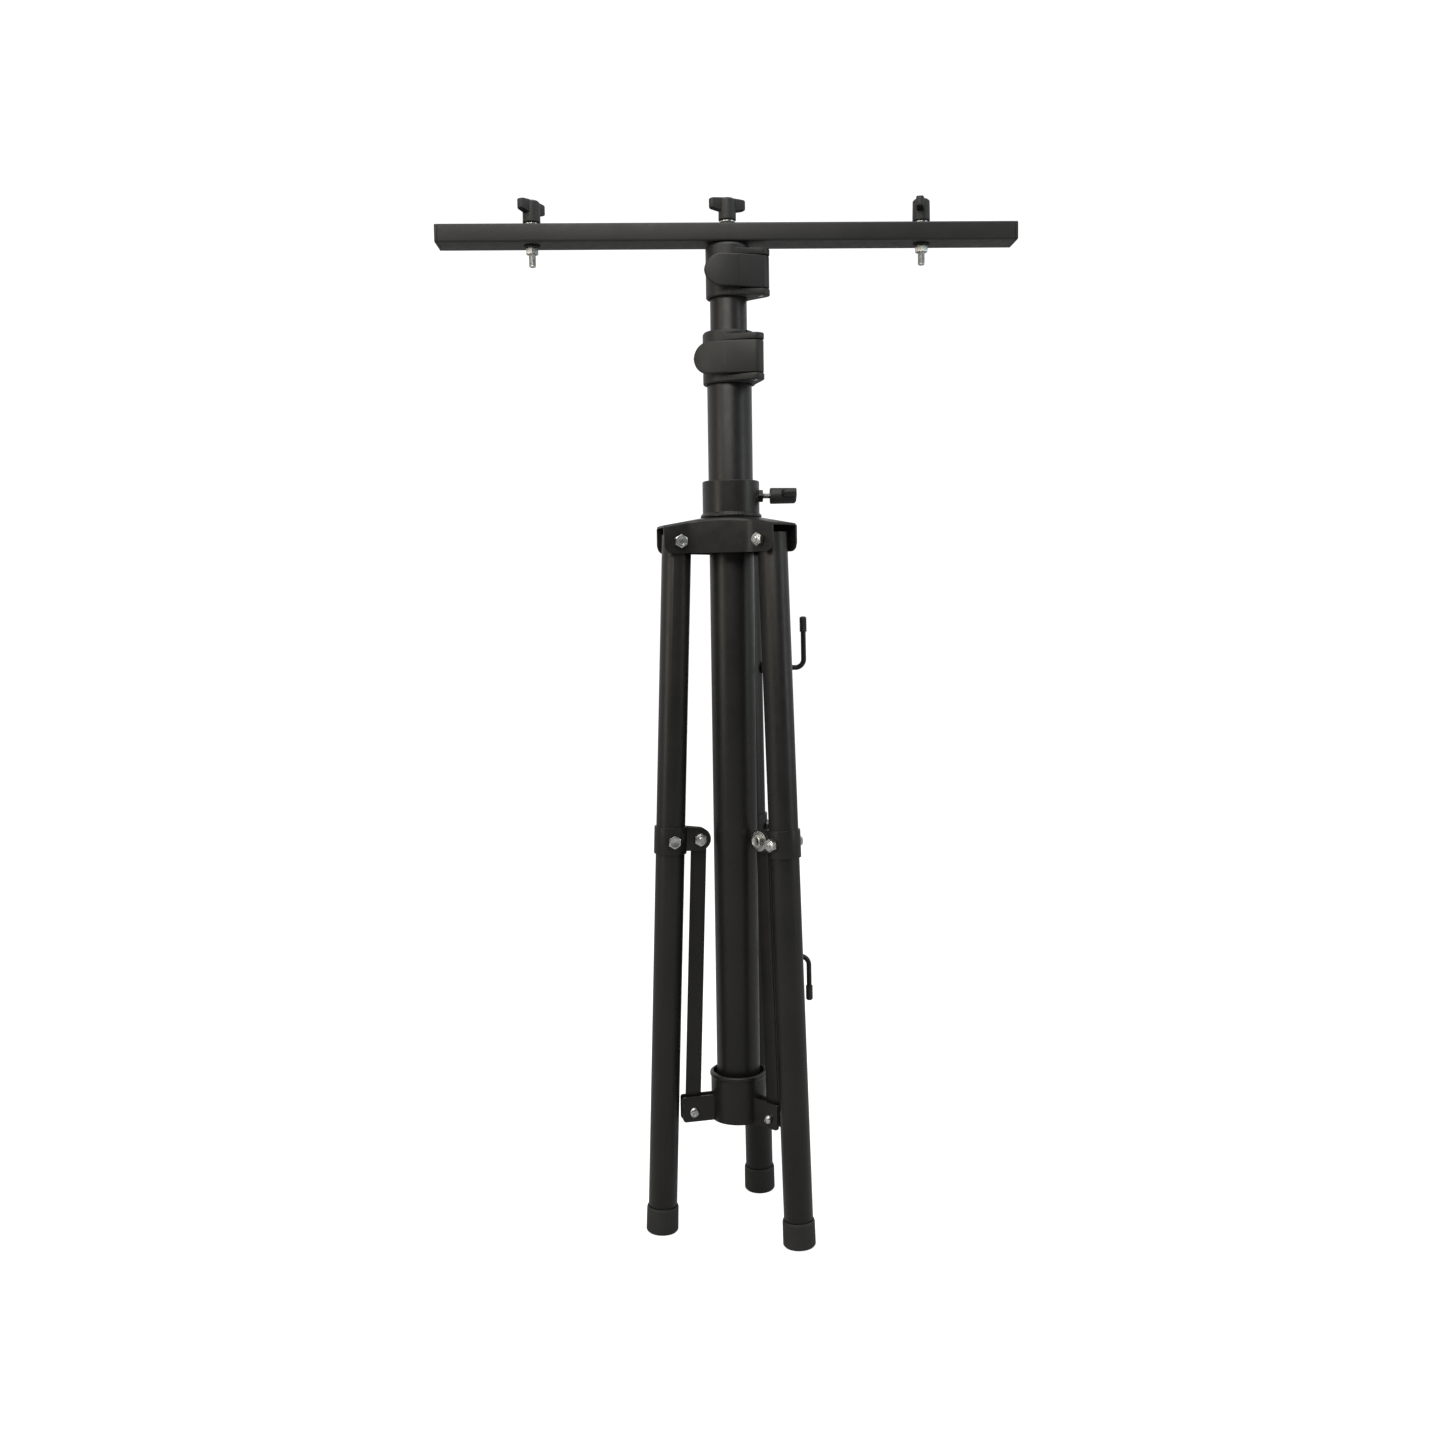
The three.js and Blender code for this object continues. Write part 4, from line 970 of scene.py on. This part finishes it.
def hub_spider():
    plan = hub_plan()
    inward = [(q[0] - p[0], q[1] - p[1]) for p, q in zip(plan, inset(plan, 1.0))]
    slope = HUB_ROOF_DROP / (HUB_END - HUB_RING)
    outer, inner, lows, roofs, bends, rays = [], [], [], [], [], []
    for p, n in zip(plan, inward):
        along, aside = ear_place(p)
        roof = hub_high.z - slope * (sqrt(p[0] ** 2 + p[1] ** 2) - HUB_RING)
        at_end = along > HUB_END - 0.01
        open_end = at_end and abs(aside) < EAR_IN - 0.05
        past = max(0, along - (HUB_END - HUB_EAR_CORNER))
        low = hub_low.z + HUB_EAR_CORNER - sqrt(max(0, HUB_EAR_CORNER ** 2 - past ** 2))
        lows.append(roof - HUB_SHEET if open_end else low)
        bends.append(0.7 if open_end else HUB_FOLD)
        roofs.append(roof)
        if at_end:
            out = Vector((along - 0.5, max(-EAR_IN, min(EAR_IN, aside))))
            turn = atan2(p[1], p[0]) - atan2(aside, along)
            inner.append((out.x * cos(turn) - out.y * sin(turn), out.x * sin(turn) + out.y * cos(turn)))
        else:
            inner.append((p[0] + n[0] * HUB_SHEET, p[1] + n[1] * HUB_SHEET))
        outer.append(p)
        azimuth = atan2(p[1], p[0])
        rays.append((cos(azimuth), sin(azimuth)))
    loops = [[(p[0], p[1], z) for p, z in zip(outer, lows)]]
    for i in range(5):
        a = pi / 2 * i / 4
        loops.append([
            (p[0] + n[0] * b * (1 - cos(a)), p[1] + n[1] * b * (1 - cos(a)), roof - b * (1 - sin(a)))
            for p, n, b, roof in zip(outer, inward, bends, roofs)
        ])
    for radius, z in ((HUB_RING, 0), (HUB_BORE, 0), (HUB_BORE, -HUB_SHEET), (HUB_RING, -HUB_SHEET)):
        loops.append([(radius * c, radius * s, hub_high.z + z) for c, s in rays])
    loops.append([
        (p[0] + n[0] * 0.9, p[1] + n[1] * 0.9, roof - HUB_SHEET - 0.02)
        for p, n, roof in zip(inner, inward, roofs)
    ])
    loops.append([(p[0], p[1], max(z, roof - HUB_SHEET - 0.9)) for p, z, roof in zip(inner, lows, roofs)])
    loops.append([(p[0], p[1], z) for p, z in zip(inner, lows)])
    spider = loft("hub_spider_a", loops, ring=True)
    holes = []
    for side in SIDES:
        bolt_place = column.inverted() @ hub_bolt_place(side)
        holes.append(drill(BOLT_HOLE, -30, 30, bolt_place @ ALONG_Y))
    piece(cut(spider, *holes), "hub_spider", column)


hub_spider()
screw_z = joints["hub_screw_turn"]["pos_m"][2] / MM


def hub_ring():
    """Short tube on the hub with its weld bead, and the nut welded on for the thumb screw."""
    low, high = span("hub_ring", column)
    base = low.z
    bead = 34.4
    profile = fillet([
        (HUB_BORE - 1, base, 0), (bead, base, 0.4), (bead, base + 2.2, 1.6), (32.6, base + 3.9, 1.2),
        (HUB_RING, base + 4.8, 0.8), (HUB_RING, high.z - 0.9, 0.9), (30.9, high.z, 0.6),
        (HUB_BORE - 1, high.z, 0),
    ], 0.5, 5)
    loops = []
    for r, z in profile:
        ripple = 0.35 if r > HUB_RING + 0.5 else 0.0
        loop = []
        for k in range(192):
            t = 2 * pi * k / 192
            rr = r - ripple * abs(sin(22 * t + 0.6 * sin(5 * t)))
            loop.append((rr * cos(t), rr * sin(t), z))
        loops.append(loop)
    ring = loft("hub_ring_a", loops, ring=True)
    nut = loft("weld_nut", hexagon(13, 30.2, 36))
    lift = here(0, 0, screw_z) @ ALONG_X
    joined(ring, (nut, lift))
    hole = drill(3.6, 5, 60, lift)
    bore = drill(HUB_BORE, base - CUTTER, high.z + CUTTER, count=128)
    piece(cut(ring, bore, hole), "hub_ring", column)
    low, high = span("hub_liner", column)
    profile = [(26.2, low.z), (29.2, low.z), (29.2, high.z), (26.2, high.z)]
    liner = lathe("hub_liner_a", profile, 0.5, 128)
    piece(cut(liner, drill(3.9, 5, 60, lift)), "hub_liner", column)


hub_ring()
screw_place = moved(column, z=screw_z) @ ALONG_X
low, high = span("hub_screw_stud", column)
loops = [circle(0.01, low.x, BOLT_POINTS), circle(2.2, low.x, BOLT_POINTS)]
loops += thread(3, low.x + 0.2, high.x - 0.4, 1.0) + [circle(0.01, high.x, BOLT_POINTS)]
piece(loft("hub_screw_a", loops), "hub_screw_stud", screw_place)
low, high = span("hub_screw_knob", screw_place)
turn = knob_turn("hub_screw_knob", screw_place)
knob = wing_shape("hub_knob_a", high.z - low.z, 37.0, 7.9, 9.0, 17.6)
piece(knob, "hub_screw_knob", moved(screw_place, z=low.z) @ Matrix.Rotation(turn, 4, "Z"))

# ---- cable hooks on the rear leg -------------------------------------------------

HOOK_REACH = 67.0
HOOK_BEND = 10.0
HOOK_ROD = 3.0


def bent_rod(name, stations, count=40):
    """Round rod in the local YZ plane. Each station is (y, z, heading, radius)."""
    loops = []
    for y, z, heading, radius in stations:
        across = (sin(heading), cos(heading))
        loops.append([
            (radius * cos(2 * pi * k / count), y + across[0] * radius * sin(2 * pi * k / count),
             z + across[1] * radius * sin(2 * pi * k / count))
            for k in range(count)
        ])
    return loft(name, loops)


def cable_hook(level, turn):
    place = leg_places["rear"]
    low, high = span(f"cable_hook_{level}", place)
    centre = high.z - 7 if turn < 0 else low.z + 7
    end = (high.z if turn > 0 else low.z) - centre
    start = -LEG_RADIUS - 0.3
    stations = [(start, 0, 0, 0.01), (start, 0, 0, 6.6), (start - 0.4, 0, 0, 7), (start - 1.4, 0, 0, 6.9)]
    for k in range(7):
        u = k / 6
        stations.append((start - 1.6 - 5.4 * u, 0, 0, HOOK_ROD + 3.6 * (1 - u) ** 2.2))
    for k in range(13):
        t = pi / 2 * k / 12
        stations.append((-HOOK_REACH + HOOK_BEND - HOOK_BEND * sin(t), turn * HOOK_BEND * (1 - cos(t)),
                         turn * t, HOOK_ROD))
    stations += [(-HOOK_REACH, end - turn * 0.6, turn * pi / 2, HOOK_ROD),
                 (-HOOK_REACH, end, turn * pi / 2, HOOK_ROD - 0.6),
                 (-HOOK_REACH, end, turn * pi / 2, 0.01)]
    piece(bent_rod(f"hook_{level}", stations), f"cable_hook_{level}", moved(place, z=centre))
    low, high = span(f"hook_tip_{level}", place)
    profile = [(0, 9.2), (3.3, 9.2), (3.3, 0), (4.1, 0)]
    for k in range(6):
        z = 0.9 + 2.4 * k
        profile += [(4.2, z), (4.2, z + 1.3), (3.85, z + 1.6), (3.85, z + 2.1)]
    profile += [(4.2, 15.4), (3.9, 16.6), (2.6, 17.7), (0, 18)]
    flip = Matrix.Rotation(0 if turn > 0 else pi, 4, "X")
    tip_z = low.z if turn > 0 else high.z
    tip = turned(f"tip_{level}", profile, 0.25, 48)
    piece(tip, f"hook_tip_{level}", moved(place, y=-HOOK_REACH, z=tip_z) @ flip)


cable_hook("upper", 1)
cable_hook("lower", -1)

# ---- camera, light and floor --------------------------------------------------

def camera():
    """Front view from just below the hub, close enough to see the bar's underside."""
    turn = radians(1.886)
    pitch = radians(4.847)
    roll = radians(-0.805)
    spot = Vector((-13.06, -1588.3, 722.75)) * MM
    forward = Vector((0, cos(pitch), -sin(pitch)))
    raised = Vector((0, sin(pitch), cos(pitch)))
    right = Vector((1, 0, 0))
    across = right * cos(roll) + raised * sin(roll)
    upward = raised * cos(roll) - right * sin(roll)
    back = Matrix.Rotation(-turn, 4, "Z")
    spot = back @ spot + Vector((axis_xy.x, axis_xy.y, 0))
    across, upward, forward = back @ across, back @ upward, back @ forward
    data = bpy.data.cameras.new("camera")
    data.sensor_width = 36
    data.sensor_fit = "HORIZONTAL"
    data.lens = 34.782
    data.clip_start, data.clip_end = 0.05, 200
    obj = bpy.data.objects.new("camera", data)
    bpy.context.scene.collection.objects.link(obj)
    obj.matrix_world = basis(spot, across, upward, -forward)
    bpy.context.scene.camera = obj


def area_light(name, spot, target, width, height, power, color):
    data = bpy.data.lights.new(name, "AREA")
    data.shape = "RECTANGLE"
    data.size, data.size_y = width, height
    data.energy = power
    data.color = color
    obj = bpy.data.objects.new(name, data)
    bpy.context.scene.collection.objects.link(obj)
    obj.location = spot
    obj.rotation_mode = "QUATERNION"
    obj.rotation_quaternion = (Vector(target) - Vector(spot)).to_track_quat("-Z", "Y")


def world():
    """White studio: bright behind and overhead, dim on the side of whoever looks from the front."""
    made = bpy.data.worlds.new("studio")
    made.use_nodes = True
    tree = made.node_tree
    place = tree.nodes.new("ShaderNodeTexCoord")
    split = tree.nodes.new("ShaderNodeSeparateXYZ")
    tree.links.new(place.outputs["Generated"], split.inputs[0])
    depth = tree.nodes.new("ShaderNodeMapRange")
    depth.inputs["From Min"].default_value = -0.75
    depth.inputs["From Max"].default_value = 0.35
    depth.inputs["To Min"].default_value = 0.10
    depth.inputs["To Max"].default_value = 0.75
    tree.links.new(split.outputs[1], depth.inputs["Value"])
    seen = tree.nodes.new("ShaderNodeLightPath")
    mix = tree.nodes.new("ShaderNodeMix")
    mix.data_type = "FLOAT"
    tree.links.new(seen.outputs["Is Camera Ray"], mix.inputs[0])
    tree.links.new(depth.outputs[0], mix.inputs[2])
    mix.inputs[3].default_value = 1.1
    background = tree.nodes["Background"]
    background.inputs[0].default_value = (1, 1, 1, 1)
    tree.links.new(mix.outputs[0], background.inputs[1])
    bpy.context.scene.world = made


def floor():
    data = bpy.data.meshes.new("floor")
    half = 60.0
    corners = [(-half, -half, 0), (half, -half, 0), (half, half, 0), (-half, half, 0)]
    data.from_pydata(corners, [], [(0, 1, 2, 3)])
    obj = bpy.data.objects.new("floor", data)
    bpy.context.scene.collection.objects.link(obj)
    pale = bpy.data.materials.new("pale_floor")
    pale.use_nodes = True
    shader = pale.node_tree.nodes["Principled BSDF"].inputs
    shader["Base Color"].default_value = (0.42, 0.42, 0.42, 1)
    shader["Roughness"].default_value = 0.8
    shader["Specular IOR Level"].default_value = 0.1
    shader["Emission Color"].default_value = (1, 1, 1, 1)
    glow = pale.node_tree.nodes.new("ShaderNodeMath")
    glow.operation = "MULTIPLY"
    glow.inputs[1].default_value = 0.86
    seen = pale.node_tree.nodes.new("ShaderNodeLightPath")
    pale.node_tree.links.new(seen.outputs["Is Camera Ray"], glow.inputs[0])
    pale.node_tree.links.new(glow.outputs[0], shader["Emission Strength"])
    data.materials.append(pale)


camera()
world()
floor()
area_light("key_left", (-2.6, -1.6, 1.6), (0, 0, 0.6), 0.9, 2.4, 24, (1.0, 0.92, 0.78))
area_light("fill_right", (2.6, -1.0, 1.5), (0, 0, 0.6), 0.9, 2.4, 17, (0.86, 1.0, 0.97))
area_light("top", (0, -0.6, 3.2), (0, 0, 0.5), 2.2, 2.2, 40, (1, 1, 1))
area_light("front_high", (-0.5, -1.9, 2.3), (0, 0, 1.0), 1.8, 0.9, 32, (1.0, 0.97, 0.9))
bpy.context.scene.view_settings.view_transform = "Standard"
